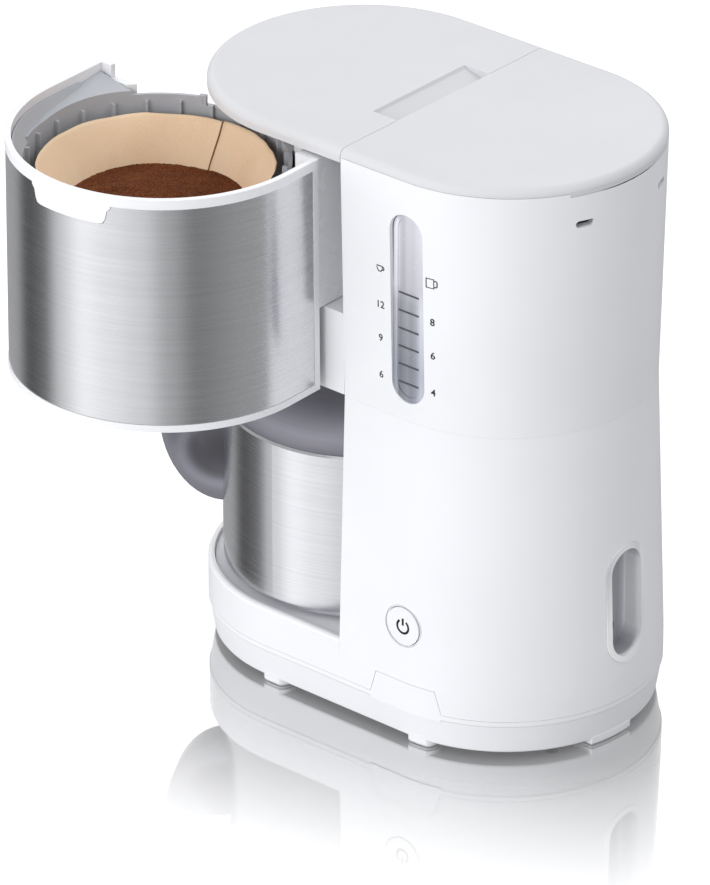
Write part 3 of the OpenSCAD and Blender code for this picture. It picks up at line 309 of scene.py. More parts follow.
def paper():
    """Unbleached filter paper: fibres, fine creases, soft uneven tone and the dark line of its seam."""
    s = Shader("filter_paper").set(Roughness=0.92, Specular_IOR_Level=0.15, Subsurface_Weight=0.12,
                                   Subsurface_Scale=0.004)
    fibres = s.noise(900.0, 5.0, rough=0.75)
    tone = s.blended(fibres, s.noise(34.0, 4.0), 0.55)
    tan = s.ramp(tone, [(0.3, (0.90, 0.60, 0.40)), (0.5, (0.97, 0.70, 0.48)), (0.72, (0.98, 0.76, 0.55))])
    x, y, _ = s.split(s.place)
    dx = s.math("SUBTRACT", x, funnel.x)
    dy = s.math("SUBTRACT", y, funnel.y)
    cos, sin = math.cos(SEAM), math.sin(SEAM)
    across = s.math("SUBTRACT", s.math("MULTIPLY", dy, cos), s.math("MULTIPLY", dx, sin))
    along = s.math("ADD", s.math("MULTIPLY", dx, cos), s.math("MULTIPLY", dy, sin))
    wander = s.math("MULTIPLY", s.math("SUBTRACT", s.noise(60.0, 1.0), 0.5), 0.0012)
    near = s.math("LESS_THAN", s.math("ABSOLUTE", s.math("ADD", across, wander)), 0.00042)
    on_seam = s.math("MULTIPLY", near, s.math("GREATER_THAN", along, 0.0))
    s.paint(s.mix(on_seam, tan, (0.20, 0.085, 0.035, 1)))
    crepe = s.node("ShaderNodeMapping", {"Scale": (1.0, 1.0, 0.16)})
    s.link(s.place, crepe.inputs["Vector"])
    creased = s.bump(s.noise(420.0, 3.0, crepe.outputs[0]), 0.35, 0.0004)
    s.bump(fibres, 0.3, 0.00012, creased)
    return s.material


def coffee():
    """Ground coffee: mixed dark and lighter grains."""
    s = Shader("ground_coffee").set(Specular_IOR_Level=0.25)
    grains = s.node("ShaderNodeTexVoronoi", {"Scale": 1900.0})
    s.link(s.place, grains.inputs["Vector"])
    mixed = s.node("ShaderNodeSeparateColor")
    s.link(grains.outputs["Color"], mixed.inputs[0])
    tone = s.blended(mixed.outputs[0], s.noise(60.0, 4.0), 0.6)
    s.paint(s.ramp(tone, [(0.2, (0.085, 0.019, 0.005)), (0.5, (0.205, 0.052, 0.013)),
                          (0.78, (0.31, 0.100, 0.029)), (0.95, (0.42, 0.165, 0.058))]))
    s.roughen(mixed.outputs[1], 0.6, 0.95, 0.0, 1.0)
    s.bump(grains.outputs["Distance"], 0.9, 0.0009)
    return s.material


def rubber(name, colour):
    """Dull rubber with a coarse grain."""
    return plastic(name, colour, 0.7, spread=0.06, grain=0.25, grain_scale=900.0, specular=0.3)


def printed(name, level):
    """Pad-printed ink, a little uneven."""
    s = Shader(name).set(Roughness=0.5, Specular_IOR_Level=0.3)
    s.tint(s.noise(1500.0, 3.0), toned((0.7, 0.7, 0.85), level), toned((1.1, 1.1, 1.3), level))
    s.bump(s.noise(2500.0), 0.15, 0.00003)
    return s.material


# The heights over which the window's painted highlights change from their lower to their upper ramp.
GAUGE_LIGHT_LOW, GAUGE_LIGHT_HIGH = 0.262, 0.274


def gauge_look():
    """The frosted window, lighter towards its top, with the round tube behind it as a painted highlight, and
    painted highlights and shade along its side edges.
    """
    s = Shader("gauge_window").set(IOR=1.46, Specular_IOR_Level=0.5)
    _, y, z = s.split(s.place)
    low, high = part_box("gauge_window")
    up = s.ramp(s.share(z, low.z, high.z),
                [(0.0, (0.27, 0.28, 0.32)), (0.16, (0.24, 0.25, 0.29)), (0.52, (0.36, 0.365, 0.40)),
                 (0.60, (0.48, 0.48, 0.52)), (1.0, (0.63, 0.63, 0.68))])
    # Across the window: painted highlights at its side edges and along the tube, and painted shade beside
    # them.
    width = s.share(y, low.y, high.y)
    lower = s.greys(width, [(0.0, 1.05), (0.12, 1.4), (0.18, 0.68), (0.26, 0.80), (0.42, 1.0), (0.55, 0.90),
                            (0.70, 1.15), (0.85, 1.95), (1.0, 1.85)])
    upper = s.greys(width, [(0.0, 1.2), (0.12, 1.4), (0.19, 0.95), (0.30, 0.83), (0.42, 1.02), (0.61, 1.01),
                            (0.73, 1.12), (0.85, 1.2), (1.0, 1.2)])
    across = s.mix(s.share(z, GAUGE_LIGHT_LOW, GAUGE_LIGHT_HIGH), lower, upper)
    s.paint(s.mix(1.0, up, across, "MULTIPLY"))
    s.roughen(s.noise(160.0), 0.20, 0.28)
    s.bump(s.noise(90.0, 1.0), 0.05, 0.0002)
    return s.material


def recess_look():
    """White at the recess's lip, and painted shade inside it: greyer inside and towards its +X wall."""
    s = Shader("recess").set(Specular_IOR_Level=0.5)
    x, y, _ = s.split(s.place)
    low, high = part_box("outlet_recess")
    across = s.share(x, low.x, high.x)
    # Painted shade inside the recess, darker towards its +X wall, where the lip shades it.
    inside = s.ramp(across, [(0.145, (0.96, 0.965, 0.975)), (0.16, (0.80, 0.81, 0.83)),
                             (0.22, (0.55, 0.56, 0.59)), (0.32, (0.38, 0.39, 0.42))])
    lip = s.ramp(across, [(0.1, (0.84, 0.845, 0.865)), (0.8, (0.98, 0.98, 0.985))])
    s.paint(s.mix(s.share(y, high.y - 0.0045, high.y - 0.002), inside, lip))
    s.roughen(s.noise(70.0), 0.30, 0.36)
    s.bump(s.noise(1800.0), 0.06, 0.00006)
    return s.material


WHITE = (0.84, 0.845, 0.865)
white = plastic("white_housing", WHITE, 0.30)
# The top faces take the housing white toned down to 0.78: painted shade for the lesser light on the top.
white_top_painted_shade = plastic("white_lid_painted_shade", toned(WHITE, 0.78), 0.44, grain=0.10, specular=0.35)
white_base = plastic("white_base", WHITE, 0.42, grain=0.14)
white_basket = plastic("white_basket", toned(WHITE, 1.01), 0.26)
inner_grey = plastic("inner_grey", (0.62, 0.63, 0.66), 0.40)
bezel_grey = plastic("bezel_grey", (0.70, 0.71, 0.74), 0.34)
liner_grey = plastic("liner_grey", (0.90, 0.905, 0.92), 0.38)
deck_grey = plastic("deck_grey", (0.80, 0.81, 0.84), 0.40)
# The recess's colour is painted shade inside it, white at its lip.
recess_painted_shade = recess_look()
insert_grey = plastic("insert_blue_grey", (0.49, 0.51, 0.54), 0.38, spread=0.03)
# The dome's colour carries painted shade, darker towards the lid and just over the steel.
dome_grey = plastic("dome_purple_grey", (0.33, 0.325, 0.375), 0.36, spread=0.02, grain=0.2,
                    shade=dome_painted_shade)
# The grip's colour carries painted light on its outer bow and painted shade towards the carafe.
handle_grey = plastic("handle_grey", (0.30, 0.298, 0.345), 0.40, spread=0.03, grain=0.3,
                      shade=grip_painted_light)
black_plastic = plastic("black_plastic", (0.03, 0.03, 0.035), 0.45, spread=0.1)
natural = plastic("natural_plastic", (0.72, 0.70, 0.64), 0.5, spread=0.03)
tank_white = plastic("tank_white", (0.74, 0.75, 0.79), 0.35)
silicone = plastic("silicone", (0.66, 0.66, 0.67), 0.55, spread=0.03)
board = plastic("board_green", (0.02, 0.13, 0.05), 0.35, spread=0.12)
foot_light = rubber("foot_rubber", (0.62, 0.62, 0.64))
skin_steel = brushed("basket_steel", basket_axis, 0.086, (0.70, 0.705, 0.715), 0.24)
carafe_steel = brushed("carafe_steel", carafe_axis, CARAFE_R, (0.72, 0.725, 0.74), 0.22)
inner_steel = brushed("inner_steel", carafe_axis, 0.074, (0.66, 0.66, 0.67), 0.18, 0.4)
fixing = metal("fixing_steel", (0.58, 0.58, 0.60), 0.3)
alloy = metal("heater_alloy", (0.62, 0.62, 0.63), 0.38, 150.0)
window = gauge_look()
tube_clear = clear("tube_clear", (0.86, 0.86, 0.92), 0.12, 0.85)
ink = printed("printed_ink", 0.035)
mark_ink = printed("mark_ink", 0.09)
sign_ink = printed("sign_ink", 0.008)
paper_tan = paper()
coffee_brown = coffee()
wire_cover = plastic("wire_cover", (0.10, 0.07, 0.05), 0.5, spread=0.15)

LOOKS = {
    white: ["lower_housing", "upper_housing", "hinge_block", "power_button"],
    white_top_painted_shade: ["front_cover", "tank_lid"],
    white_base: ["base_pan"],
    white_basket: ["basket_shell", "basket_floor", "basket_catch"],
    deck_grey: ["carafe_deck"],
    inner_grey: ["cover_underplate", "shower_head", "drip_stop"],
    liner_grey: ["bay_liner"],
    recess_painted_shade: ["outlet_recess"],
    bezel_grey: ["button_bezel", "gauge_channel"],
    insert_grey: ["funnel_insert"],
    dome_grey: ["carafe_collar", "carafe_lid", "pour_lever"],
    handle_grey: ["carafe_handle", "carafe_foot"],
    black_plastic: ["cord_gland", "switch_block", "tank_outlet_valve"],
    natural: ["terminal_block", "basket_bushes", "brew_duct", "thermal_fuses"],
    tank_white: ["water_tank"],
    silicone: ["cold_hose", "riser_tube", "lid_seal"],
    board: ["control_board"],
    foot_light: ["feet"],
    skin_steel: ["basket_skin"],
    carafe_steel: ["carafe_shell"],
    inner_steel: ["carafe_liner"],
    fixing: ["base_screws", "block_screws", "pivot_pins", "lid_hinge_pin", "handle_screws", "lever_pin",
             "latch_clip", "heater_clips", "button_spring", "drip_stop_spring"],
    alloy: ["flow_heater", "thermostat"],
    window: ["gauge_window"],
    tube_clear: ["gauge_tube"],
    mark_ink: ["gauge_marks"],
    paper_tan: ["paper_filter"],
    coffee_brown: ["coffee_grounds"],
    wire_cover: ["wiring"],
}
for material, members in LOOKS.items():
    for member in members:
        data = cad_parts[member].data
        data.materials.clear()
        data.materials.append(material)

# ---------------------------------------------------------------- helpers for new pieces


def placed(name, data):
    """A new object in the scene."""
    obj = bpy.data.objects.new(name, data)
    bpy.context.scene.collection.objects.link(obj)
    return obj


def piece(name, mesh, material, body, smooth=True):
    """A new visible piece, which rides on a body and takes its finish from a slot."""
    mesh.materials.clear()
    mesh.materials.append(material)
    if smooth:
        for face in mesh.polygons:
            face.use_smooth = True
    obj = placed(name, mesh)
    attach(obj, body)
    return obj


def applied(obj):
    """The object's mesh with its modifiers in it, as a new mesh."""
    bpy.context.view_layer.update()
    shown = obj.evaluated_get(bpy.context.evaluated_depsgraph_get())
    mesh = bpy.data.meshes.new_from_object(shown)
    bpy.data.objects.remove(obj)
    return mesh


def written(made, mesh):
    """Puts what bmesh made into a mesh."""
    made.to_mesh(mesh)
    made.free()
    return mesh


def on_circle(r, turn):
    return r * math.cos(turn), r * math.sin(turn)


def grid_mesh(name, rows, closed=True):
    """A mesh from rows of points; each row is closed into a ring if asked."""
    mesh = bpy.data.meshes.new(name)
    count = len(rows[0])
    points = [p for row in rows for p in row]
    faces = []
    for i in range(len(rows) - 1):
        for k in range(count if closed else count - 1):
            n = (k + 1) % count
            faces.append((i * count + k, i * count + n, (i + 1) * count + n, (i + 1) * count + k))
    mesh.from_pydata(points, [], faces)
    mesh.update()
    return mesh


def tube_mesh(name, points, radius, resolution=3):
    """A round tube along a smooth curve."""
    curve = bpy.data.curves.new(name, "CURVE")
    curve.dimensions = "3D"
    curve.bevel_depth = radius
    curve.bevel_resolution = resolution
    curve.use_fill_caps = True
    spline = curve.splines.new("NURBS")
    spline.points.add(len(points) - 1)
    for target, p in zip(spline.points, points):
        target.co = (*p, 1)
    spline.use_endpoint_u = True
    spline.order_u = 4
    return applied(placed(name, curve))


# ---------------------------------------------------------------- paper filter and coffee


def smooth_noise(x, y, z, scale):
    """A smooth random value from -1 to 1, the same each run."""
    return noise.noise(Vector((x * scale, y * scale, z * scale)))


PAPER_LOW, PAPER_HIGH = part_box("paper_filter")
PAPER_R = (PAPER_HIGH.x - PAPER_LOW.x) / 2
PAPER_FOOT_R = 0.012
PAPER_THICK = 0.00035
FOOT_LIFT = 0.0004
RINGS, STEPS = 46, 300


def paper_radius(turn, t):
    """Radius of the paper at an angle and a share of its height: one overlap, soft folds."""
    base = PAPER_FOOT_R + (PAPER_R - PAPER_FOOT_R) * t
    since = (turn - SEAM) % (2 * math.pi)
    overlap = -0.0011 * max(0.0, 1 - since / 0.9) * min(1.0, t * 3)
    soft = 0.0012 * t * smooth_noise(math.cos(turn), math.sin(turn), t * 0.6, 1.6)
    dents = 0.0005 * t * smooth_noise(math.cos(turn) * 3, math.sin(turn) * 3, t * 2, 2.5)
    return base + overlap + soft + dents - 0.0009 * t


def paper_height(turn, t):
    """Height of a point of the paper, whose rim rises and falls a little."""
    rim = 0.0012 * smooth_noise(math.cos(turn) * 2, math.sin(turn) * 2, 0, 1.4) - 0.0007
    z = PAPER_LOW.z + FOOT_LIFT + (PAPER_HIGH.z - PAPER_LOW.z - FOOT_LIFT) * t + rim * t ** 6
    return min(z, PAPER_HIGH.z)


def make_paper():
    """The cone of paper, with its foot closed, given its thickness."""
    rows = []
    for i in range(RINGS + 1):
        t = i / RINGS
        row = []
        for k in range(STEPS):
            turn = 2 * math.pi * k / STEPS + SEAM
            # a little past the seam, so that the overlap starts and ends between two points
            x, y = on_circle(paper_radius(turn + 1e-4, t), turn)
            row.append((funnel.x + x, funnel.y + y, paper_height(turn, t)))
        rows.append(row)
    mesh = grid_mesh("paper_filter_cone", rows)
    made = bmesh.new()
    made.from_mesh(mesh)
    made.faces.new(list(reversed(list(made.verts)[:STEPS])))
    sheet = placed("paper_filter_cone", written(made, mesh))
    thick = sheet.modifiers.new("thick", "SOLIDIFY")
    thick.thickness = PAPER_THICK
    thick.offset = -1
    cone = applied(sheet)
    cone.name = "paper_filter_cone"
    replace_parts(piece("paper_filter_cone", cone, paper_tan, "filter_insert"), "paper_filter")


make_paper()

GROUNDS_LOW, GROUNDS_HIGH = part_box("coffee_grounds")
GROUNDS_R = (GROUNDS_HIGH.x - GROUNDS_LOW.x) / 2
GROUNDS_EDGE_Z = GROUNDS_HIGH.z - 0.007
GROUNDS_DEPTH = GROUNDS_HIGH.z - GROUNDS_LOW.z - 0.008
TURNS, GROUNDS_RINGS = 260, 92
MIDDLE_RING = 0.15


def grounds_height(x, y, r):
    """Height of the coffee's surface: a low mound off the middle, lumps and grains."""
    share = r / GROUNDS_R
    mound = 0.0062 * math.cos(min(1.0, math.hypot(x - 0.004, y + 0.006) / GROUNDS_R) * math.pi / 2) ** 1.3
    lumps = 0.0013 * smooth_noise(x, y, 0.3, 75) + 0.0007 * smooth_noise(x, y, 0.7, 210)
    grains = 0.0004 * smooth_noise(x, y, 0.1, 900) + 0.0003 * smooth_noise(x, y, 0.9, 1900)
    z = GROUNDS_EDGE_Z - 0.0010 + mound * (1 - share ** 6) + lumps * (1 - share ** 8) + grains
    return min(z, GROUNDS_HIGH.z)


def grounds_ring(r, height):
    """A ring of points round the funnel; height gives each point's Z."""
    ring = []
    for k in range(TURNS):
        x, y = on_circle(r, 2 * math.pi * k / TURNS)
        ring.append((funnel.x + x, funnel.y + y, height(x, y, r)))
    return ring


def make_coffee():
    """The mound of coffee, closed underneath to the funnel's form."""
    radii = [GROUNDS_R * (i + MIDDLE_RING) / (GROUNDS_RINGS + MIDDLE_RING) for i in range(GROUNDS_RINGS + 1)]
    rows = [grounds_ring(r, grounds_height) for r in radii]
    for share, depth in ((0.97, 0.006), (0.6, 0.045), (0.24, GROUNDS_DEPTH)):
        rows.append(grounds_ring(GROUNDS_R * share, lambda x, y, r: GROUNDS_EDGE_Z - depth))
    mesh = grid_mesh("coffee_mound", rows)
    made = bmesh.new()
    made.from_mesh(mesh)
    points = list(made.verts)
    made.faces.new(points[TURNS - 1::-1])
    made.faces.new(points[-TURNS:])
    bmesh.ops.recalc_face_normals(made, faces=made.faces)
    mound = piece("coffee_mound", written(made, mesh), coffee_brown, "filter_insert")
    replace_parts(mound, "coffee_grounds")


make_coffee()

# ---------------------------------------------------------------- printed marks

# How far a mark's front stands off the wall, how deep the mark goes, and half the drawing's thickness.
PRINT_LIFT = 0.00012
PRINT_DEPTH = 0.0002
HALF_THICK = 0.0001


def wrap_to_side(mesh, at_y, at_z):
    """Lays a flat drawing, made in X and Y in metres, on the +X side at a place."""
    for v in mesh.vertices:
        y, z = at_y + v.co.x, at_z + v.co.y
        v.co = (side_x(y, z) + PRINT_LIFT - (PRINT_DEPTH if v.co.z < 0 else 0), y, z)
    mesh.update()
    return mesh


def drawn(points, width, closed=False):
    """A flat line of a given width through points, as a thin solid."""
    made = bmesh.new()
    count = len(points)
    sides = []
    for i, p in enumerate(points):
        before = points[i - 1] if (closed or i) else p
        after = points[(i + 1) % count] if (closed or i < count - 1) else p
        d = Vector((after[0] - before[0], after[1] - before[1])).normalized()
        n = Vector((-d.y, d.x)) * width / 2
        sides.append([made.verts.new((p[0] + n.x * side, p[1] + n.y * side, HALF_THICK * face))
                      for side, face in ((1, 1), (-1, 1), (-1, -1), (1, -1))])
    pairs = list(zip(sides, sides[1:])) + ([(sides[-1], sides[0])] if closed else [])
    for a, b in pairs:
        for k in range(4):
            made.faces.new((a[k], a[(k + 1) % 4], b[(k + 1) % 4], b[k]))
    if not closed:
        made.faces.new(list(reversed(sides[0])))
        made.faces.new(sides[-1])
    bmesh.ops.recalc_face_normals(made, faces=made.faces)
    return written(made, bpy.data.meshes.new("line"))


DIGIT = 0.0041


def number_mesh(text):
    """A number as a thin solid, centred on the origin."""
    curve = bpy.data.curves.new("number", "FONT")
    curve.body = text
    # the default font's digits are 1 / 1.42 of its size
    curve.size = DIGIT * 1.42
    curve.align_x = "CENTER"
    curve.align_y = "CENTER"
    curve.extrude = HALF_THICK
    curve.offset = 0.00007
    return applied(placed("number", curve))


def arc(cx, cy, r, start, end, steps=24):
    points = []
    for i in range(steps + 1):
        x, y = on_circle(r, math.radians(start + (end - start) * i / steps))
        points.append((cx + x, cy + y))
    return points


def print_piece(name, meshes, material, body):
    """Several drawings as one printed piece."""
    made = bmesh.new()
    for mesh in meshes:
        made.from_mesh(mesh)
    piece(name, written(made, bpy.data.meshes.new(name)), material, body, smooth=False)


LINE = 0.00066
LEFT_Y, RIGHT_Y, MUG_Y = 0.0317, 0.0665, 0.0654
CUP_Z, MUG_Z = 0.2808, 0.2824
SCALES = {"left": (LEFT_Y, [("12", 0.2592), ("9", 0.2392), ("6", 0.2172)]),
          "right": (RIGHT_Y, [("8", 0.2592), ("6", 0.2392), ("4", 0.2170)])}
for side, (at_y, entries) in SCALES.items():
    numbers = [wrap_to_side(number_mesh(text), at_y, z) for text, z in entries]
    print_piece("gauge_numbers_" + side, numbers, ink, "machine")

cup_bowl = [(-0.0019, 0.0017), (-0.0017, -0.0002), (-0.0008, -0.0015), (0.0008, -0.0015), (0.0017, -0.0002),
            (0.0019, 0.0017)]
cup = [drawn(cup_bowl, LINE, closed=True), drawn(arc(0.0019, 0.0005, 0.0010, 80, -80), LINE)]
print_piece("gauge_cup_sign", [wrap_to_side(line, LEFT_Y, CUP_Z) for line in cup], ink, "machine")

mug_bowl = [(-0.0024, 0.0027), (-0.0024, -0.0027), (0.0022, -0.0027), (0.0022, 0.0027)]
mug_grip = [(0.0022, 0.0019), (0.0036, 0.0019), (0.0041, 0.0014), (0.0041, -0.0012), (0.0036, -0.0017),
            (0.0022, -0.0017)]
mug = [drawn(mug_bowl, LINE, closed=True), drawn(mug_grip, LINE)]
print_piece("gauge_mug_sign", [wrap_to_side(line, MUG_Y, MUG_Z) for line in mug], ink, "machine")

POWER_R = 0.0039
POWER_LINE = 0.00135
SIGN_LIFT, SIGN_DEPTH = 0.00006, 0.0001
power = [drawn(arc(0, -0.0003, POWER_R, 124, 416, 48), POWER_LINE),
         drawn([(0, 0.0004), (0, 0.0047)], POWER_LINE)]
for line in power:
    for v in line.vertices:
        off_face = SIGN_LIFT if v.co.z > 0 else -SIGN_DEPTH
        v.co = (BUTTON_FACE + off_face, BUTTON.y + v.co.x, BUTTON.z + v.co.y)
print_piece("power_sign", power, sign_ink, "power_button")

# ---------------------------------------------------------------- carafe handle

HANDLE_HEADING = math.radians(-60)
HANDLE_HALF = 0.012
# Where the grip ends inside the shell's wall, and at the carafe's neck.
INNER_R, NECK_R = 0.0745, 0.0680
DISH_DEPTH, DISH_TOP = 0.0046, 0.134
# The middle of the lines that cut the grip's sides finely enough for the dish, and their spacing.
CUT_R, CUT_R_STEP = 0.098, 0.0011
CUT_Z, CUT_Z_STEP = 0.121, 0.0015
CUTS = 30


def bow(z, reach, drop, start, end, steps=14):
    """Points (distance from the carafe's axis, height) on an arc that stands off the steel."""
    points = []
    for i in range(steps + 1):
        t = math.radians(start + (end - start) * i / steps)
        points.append((CARAFE_R + reach * math.cos(t), z + drop * math.sin(t)))
    return points


def eased(x):
    x = max(0.0, min(1.0, x))
    return x * x * (3 - 2 * x)


def dish_depth(r, z):
    """How far the side of the grip is sunk, from its outer edge and from the finger gap."""
    outer = math.hypot((r - CARAFE_R) / BOW_REACH, (z - BOW_Z) / BOW_DROP)
    gap = math.hypot((r - CARAFE_R) / GAP_REACH, (z - GAP_Z) / GAP_DROP)
    inside = eased((0.88 - outer) / 0.4) * eased((gap - 1.06) / 0.4)
    return DISH_DEPTH * inside * eased((DISH_TOP - z) / 0.008)


def grip_outline():
    """The grip seen from the side: the bow from its foot to the neck, and back round the finger gap."""
    return (bow(BOW_Z, BOW_REACH, BOW_DROP, -90, 0) + bow(GAP_Z, BOW_REACH, 0.031, 4, 90)
            + [(NECK_R, 0.1700), (NECK_R, 0.1590)]
            + bow(0.141, GAP_REACH, 0.018, 90, 4) + bow(GAP_Z, GAP_REACH, GAP_DROP, 0, -90)
            + [(INNER_R, 0.126), (INNER_R, 0.0768)])


def grip_solid(heading, side):
    """The outline as a plate of the grip's width, with its edges rounded."""
    made = bmesh.new()
    rings = []
    for offset in (-HANDLE_HALF, HANDLE_HALF):
        rings.append([made.verts.new(carafe_axis + heading * r + side * offset + Vector((0, 0, z)))
                      for r, z in grip_outline()])
    made.faces.new(rings[0])
    made.faces.new(list(reversed(rings[1])))
    count = len(rings[0])
    for k in range(count):
        n = (k + 1) % count
        made.faces.new((rings[0][k], rings[1][k], rings[1][n], rings[0][n]))
    bmesh.ops.recalc_face_normals(made, faces=made.faces)
    plate = placed("carafe_grip", written(made, bpy.data.meshes.new("carafe_grip")))
    bevel = plate.modifiers.new("round", "BEVEL")
    bevel.width = 0.0034
    bevel.segments = 5
    bevel.limit_method = "ANGLE"
    bevel.angle_limit = math.radians(50)
    return applied(plate)


def make_handle():
    """The grip as a rounded bow, dished on each side below the finger gap."""
    heading = Vector((math.cos(HANDLE_HEADING), math.sin(HANDLE_HEADING), 0))
    side = Vector((-heading.y, heading.x, 0))
    up = Vector((0, 0, 1))
    grip = grip_solid(heading, side)
    made = bmesh.new()
    made.from_mesh(grip)
    for k in range(-CUTS, CUTS):
        for normal, at in ((heading, carafe_axis + heading * (CUT_R + k * CUT_R_STEP)),
                           (up, up * (CUT_Z + k * CUT_Z_STEP))):
            bmesh.ops.bisect_plane(made, geom=made.verts[:] + made.edges[:] + made.faces[:],
                                   plane_co=at, plane_no=normal, dist=1e-6)
    for v in made.verts:
        across = (v.co - carafe_axis).dot(side)
        if abs(across) > HANDLE_HALF - 0.0001:
            v.co -= side * math.copysign(dish_depth((v.co - carafe_axis).dot(heading), v.co.z), across)
    written(made, grip)
    grip.name = "carafe_grip"
    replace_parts(piece("carafe_grip", grip, handle_grey, "carafe"), "carafe_handle")
    grip.set_sharp_from_angle(angle=math.radians(40))


make_handle()

# ---------------------------------------------------------------- springs


CLOSED_SHARE = 0.08
CLOSED_PITCH = 0.4


def coil_rise(t):
    """Share of the coil's length at a share of its turns, whose two ends lie closer together."""
    if t <= CLOSED_SHARE:
        return t * CLOSED_PITCH
    return t if t < 1 - CLOSED_SHARE else 1 - (1 - t) * CLOSED_PITCH


def coil_points(centre, along, radius, length, turns, per_turn=20):
    """A helix about X or Z."""
    points = []
    for i in range(int(turns * per_turn) + 1):
        rise = (coil_rise(i / (turns * per_turn)) - 0.5) * length
        a, b = on_circle(radius, 2 * math.pi * i / per_turn)
        points.append(centre + Vector((a, b, rise) if along == "z" else (rise, a, b)))
    return points


def make_spring(name, node, along, body, turns, wire):
    """A coil in the room of a spring's node."""
    low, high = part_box(node)
    span = high - low
    length = getattr(span, along) - 2 * wire
    radius = span.y / 2 - wire
    coil = tube_mesh(name, coil_points((low + high) / 2, along, radius, length, turns), wire)
    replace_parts(piece(name, coil, fixing, body), node)


make_spring("button_coil", "button_spring", "x", "machine", 4.5, 0.00035)
make_spring("drip_stop_coil", "drip_stop_spring", "z", "basket", 3.5, 0.0004)

# ---------------------------------------------------------------- stage, light and camera


def stage_material(name, tone, glow):
    """A white floor that shines by itself a little, with slight cloudiness."""
    s = Shader(name).set(Roughness=0.5, Specular_IOR_Level=0.0)
    s.tint(s.noise(0.8), toned((tone, tone, tone), 0.995), (tone, tone, tone))
    s.set(Emission_Color=(1, 1, 1, 1), Emission_Strength=glow)
    return s


def mirror_near(s, strongest, tint, near, far):
    """Adds a mirror that fades with distance from the machine."""
    share = s.range(s.reach(s.place, (1.0, 0.72, 0.0)), strongest, 0.0, near, far)
    gloss = s.node("ShaderNodeBsdfGlossy", {"Roughness": 0.03, "Color": (tint, tint, tint, 1)})
    mixed = s.node("ShaderNodeMixShader")
    for socket, value in zip(mixed.inputs, (share, s.bsdf.outputs[0], gloss.outputs[0])):
        s.link(value, socket)
    s.link(mixed.outputs[0], s.out.inputs["Surface"])


FLOOR_HALF = 14.0


def floor_plane(name, z, s):
    """A wide square floor that mirrors in nothing; what shows it besides is the caller's choice."""
    h = FLOOR_HALF
    mesh = bpy.data.meshes.new(name)
    mesh.from_pydata([(-h, -h, z), (h, -h, z), (h, h, z), (-h, h, z)], [], [(0, 1, 2, 3)])
    mesh.materials.append(s.material)
    obj = placed(name, mesh)
    obj.visible_glossy = False
    return obj


white_floor = stage_material("floor_white", 0.80, 0.42)
mirror_near(white_floor, 0.86, 0.66, 0.11, 0.25)
shown_floor = floor_plane("studio_floor", -0.0004, white_floor)
shown_floor.visible_diffuse = False
bounce_floor = floor_plane("bounce_floor", -0.0008, stage_material("floor_bounce", 0.72, 0.0))
bounce_floor.visible_camera = False
bounce_floor.visible_transmission = False


def toward(azimuth, elevation):
    """The way to a place round the machine: 0 is the front, 90 is +X."""
    a, e = math.radians(azimuth), math.radians(elevation)
    return Vector((math.sin(a) * math.cos(e), -math.cos(a) * math.cos(e), math.sin(e)))


# The light of the studio's walls by azimuth, of its ceiling, and of the backdrop behind the machine.
AROUND = [(-180, 0.37), (-145, 0.42), (-110, 0.40), (-60, 0.40), (-7, 0.44), (12, 0.09), (32, 0.17),
          (50, 0.85), (68, 1.32), (90, 1.10), (112, 0.90), (134, 0.50), (152, 0.25), (180, 0.34)]
TOP_LIGHT = 0.80
BACKDROP_LIGHT = 1.7
BACKDROP_AT = toward(-49.3, 30)


def cool(level):
    return level * 0.985, level * 0.99, level * 1.01


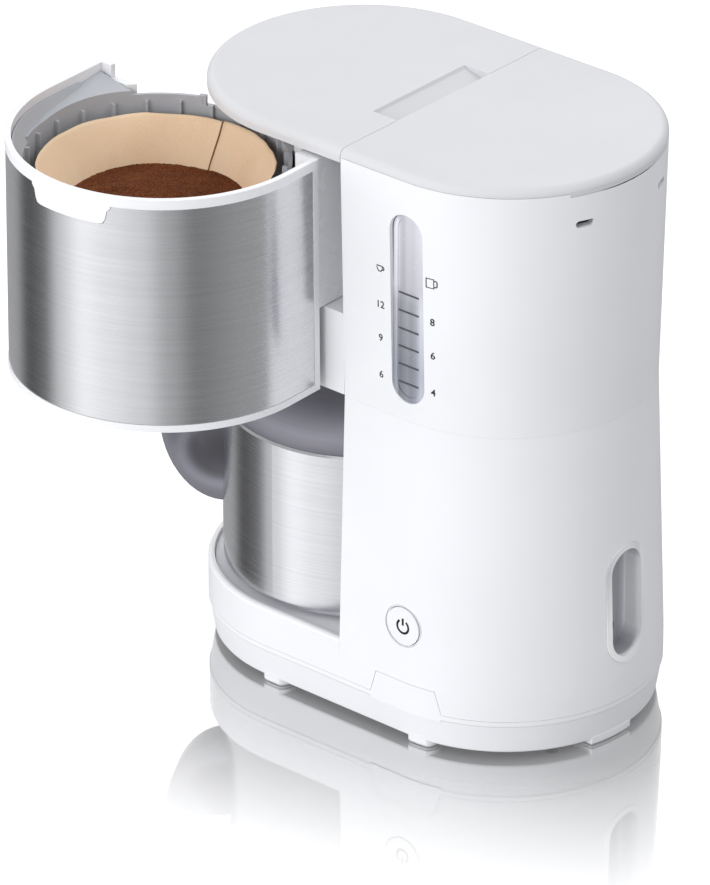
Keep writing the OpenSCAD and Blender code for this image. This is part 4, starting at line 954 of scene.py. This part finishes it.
def build_world():
    """Walls, ceiling and a bright backdrop, which the shiny floor mirrors."""
    world = bpy.data.worlds.new("studio")
    bpy.context.scene.world = world
    world.use_nodes = True
    w = Nodes(world.node_tree)
    place = w.node("ShaderNodeTexCoord").outputs["Generated"]
    x, y, z = w.split(place)
    turn = w.share(w.math("ARCTAN2", x, w.math("MULTIPLY", y, -1.0)), -math.pi, math.pi)
    walls = w.ramp(turn, [((azimuth + 180) / 360, cool(level)) for azimuth, level in AROUND], "EASE")
    room = w.mix(w.share(z, 0.10, 0.45, "SMOOTHSTEP"), walls, (*cool(TOP_LIGHT), 1))
    facing_it = w.node("ShaderNodeVectorMath", {1: BACKDROP_AT}, operation="DOT_PRODUCT")
    w.link(place, facing_it.inputs[0])
    patch = w.share(facing_it.outputs["Value"], 0.86, 0.95, "SMOOTHSTEP")
    back = w.node("ShaderNodeBackground")
    w.link(w.mix(patch, room, (BACKDROP_LIGHT, BACKDROP_LIGHT, BACKDROP_LIGHT, 1)), back.inputs["Color"])
    w.link(back.outputs[0], w.node("ShaderNodeOutputWorld").inputs["Surface"])


build_world()


def softbox(name, azimuth, elevation, distance, size, watts, target=(0, 0, 0.17)):
    """A soft lamp that looks at a target and mirrors in nothing."""
    data = bpy.data.lights.new(name, "AREA")
    data.shape = "RECTANGLE"
    data.size, data.size_y = size
    data.energy = watts
    data.color = (0.985, 0.99, 1.0)
    obj = placed(name, data)
    back = toward(azimuth, elevation)
    obj.location = Vector(target) + back * distance
    obj.rotation_mode = "QUATERNION"
    obj.rotation_quaternion = back.to_track_quat("Z", "Y")
    obj.visible_glossy = False


softbox("key", 88, 14, 2.6, (1.5, 1.6), 34)
softbox("front_fill", 30, 12, 2.6, (1.2, 1.2), 9)
softbox("basket_fill", -139, 48, 1.5, (0.5, 0.5), 3.0, target=(0.113, -0.093, 0.30))

CAMERA_AT = Vector((2.96655, 2.49258, 2.18325))
CAMERA_AZ, CAMERA_EL, CAMERA_ROLL = 130.685, 27.896, -0.0766
LONG_SIDE = 36.0
LENS = 326.33


def place_camera():
    """The camera of the picture, which looks down from between +X and +Y."""
    data = bpy.data.cameras.new("camera")
    data.sensor_width = LONG_SIDE
    data.lens = LENS
    data.clip_start, data.clip_end = 0.1, 60
    camera = placed("camera", data)
    facing = toward(CAMERA_AZ, CAMERA_EL)
    az = math.radians(CAMERA_AZ)
    right = Vector((math.cos(az), math.sin(az), 0))
    up = facing.cross(right)
    roll = math.radians(CAMERA_ROLL)
    turned_right = right * math.cos(roll) + up * math.sin(roll)
    rotation = Matrix((turned_right, facing.cross(turned_right), facing)).transposed()
    camera.rotation_mode = "QUATERNION"
    camera.rotation_quaternion = rotation.to_quaternion()
    camera.location = CAMERA_AT
    bpy.context.scene.camera = camera


place_camera()
bpy.context.scene.view_settings.view_transform = "Standard"
bpy.context.scene.view_settings.look = "None"
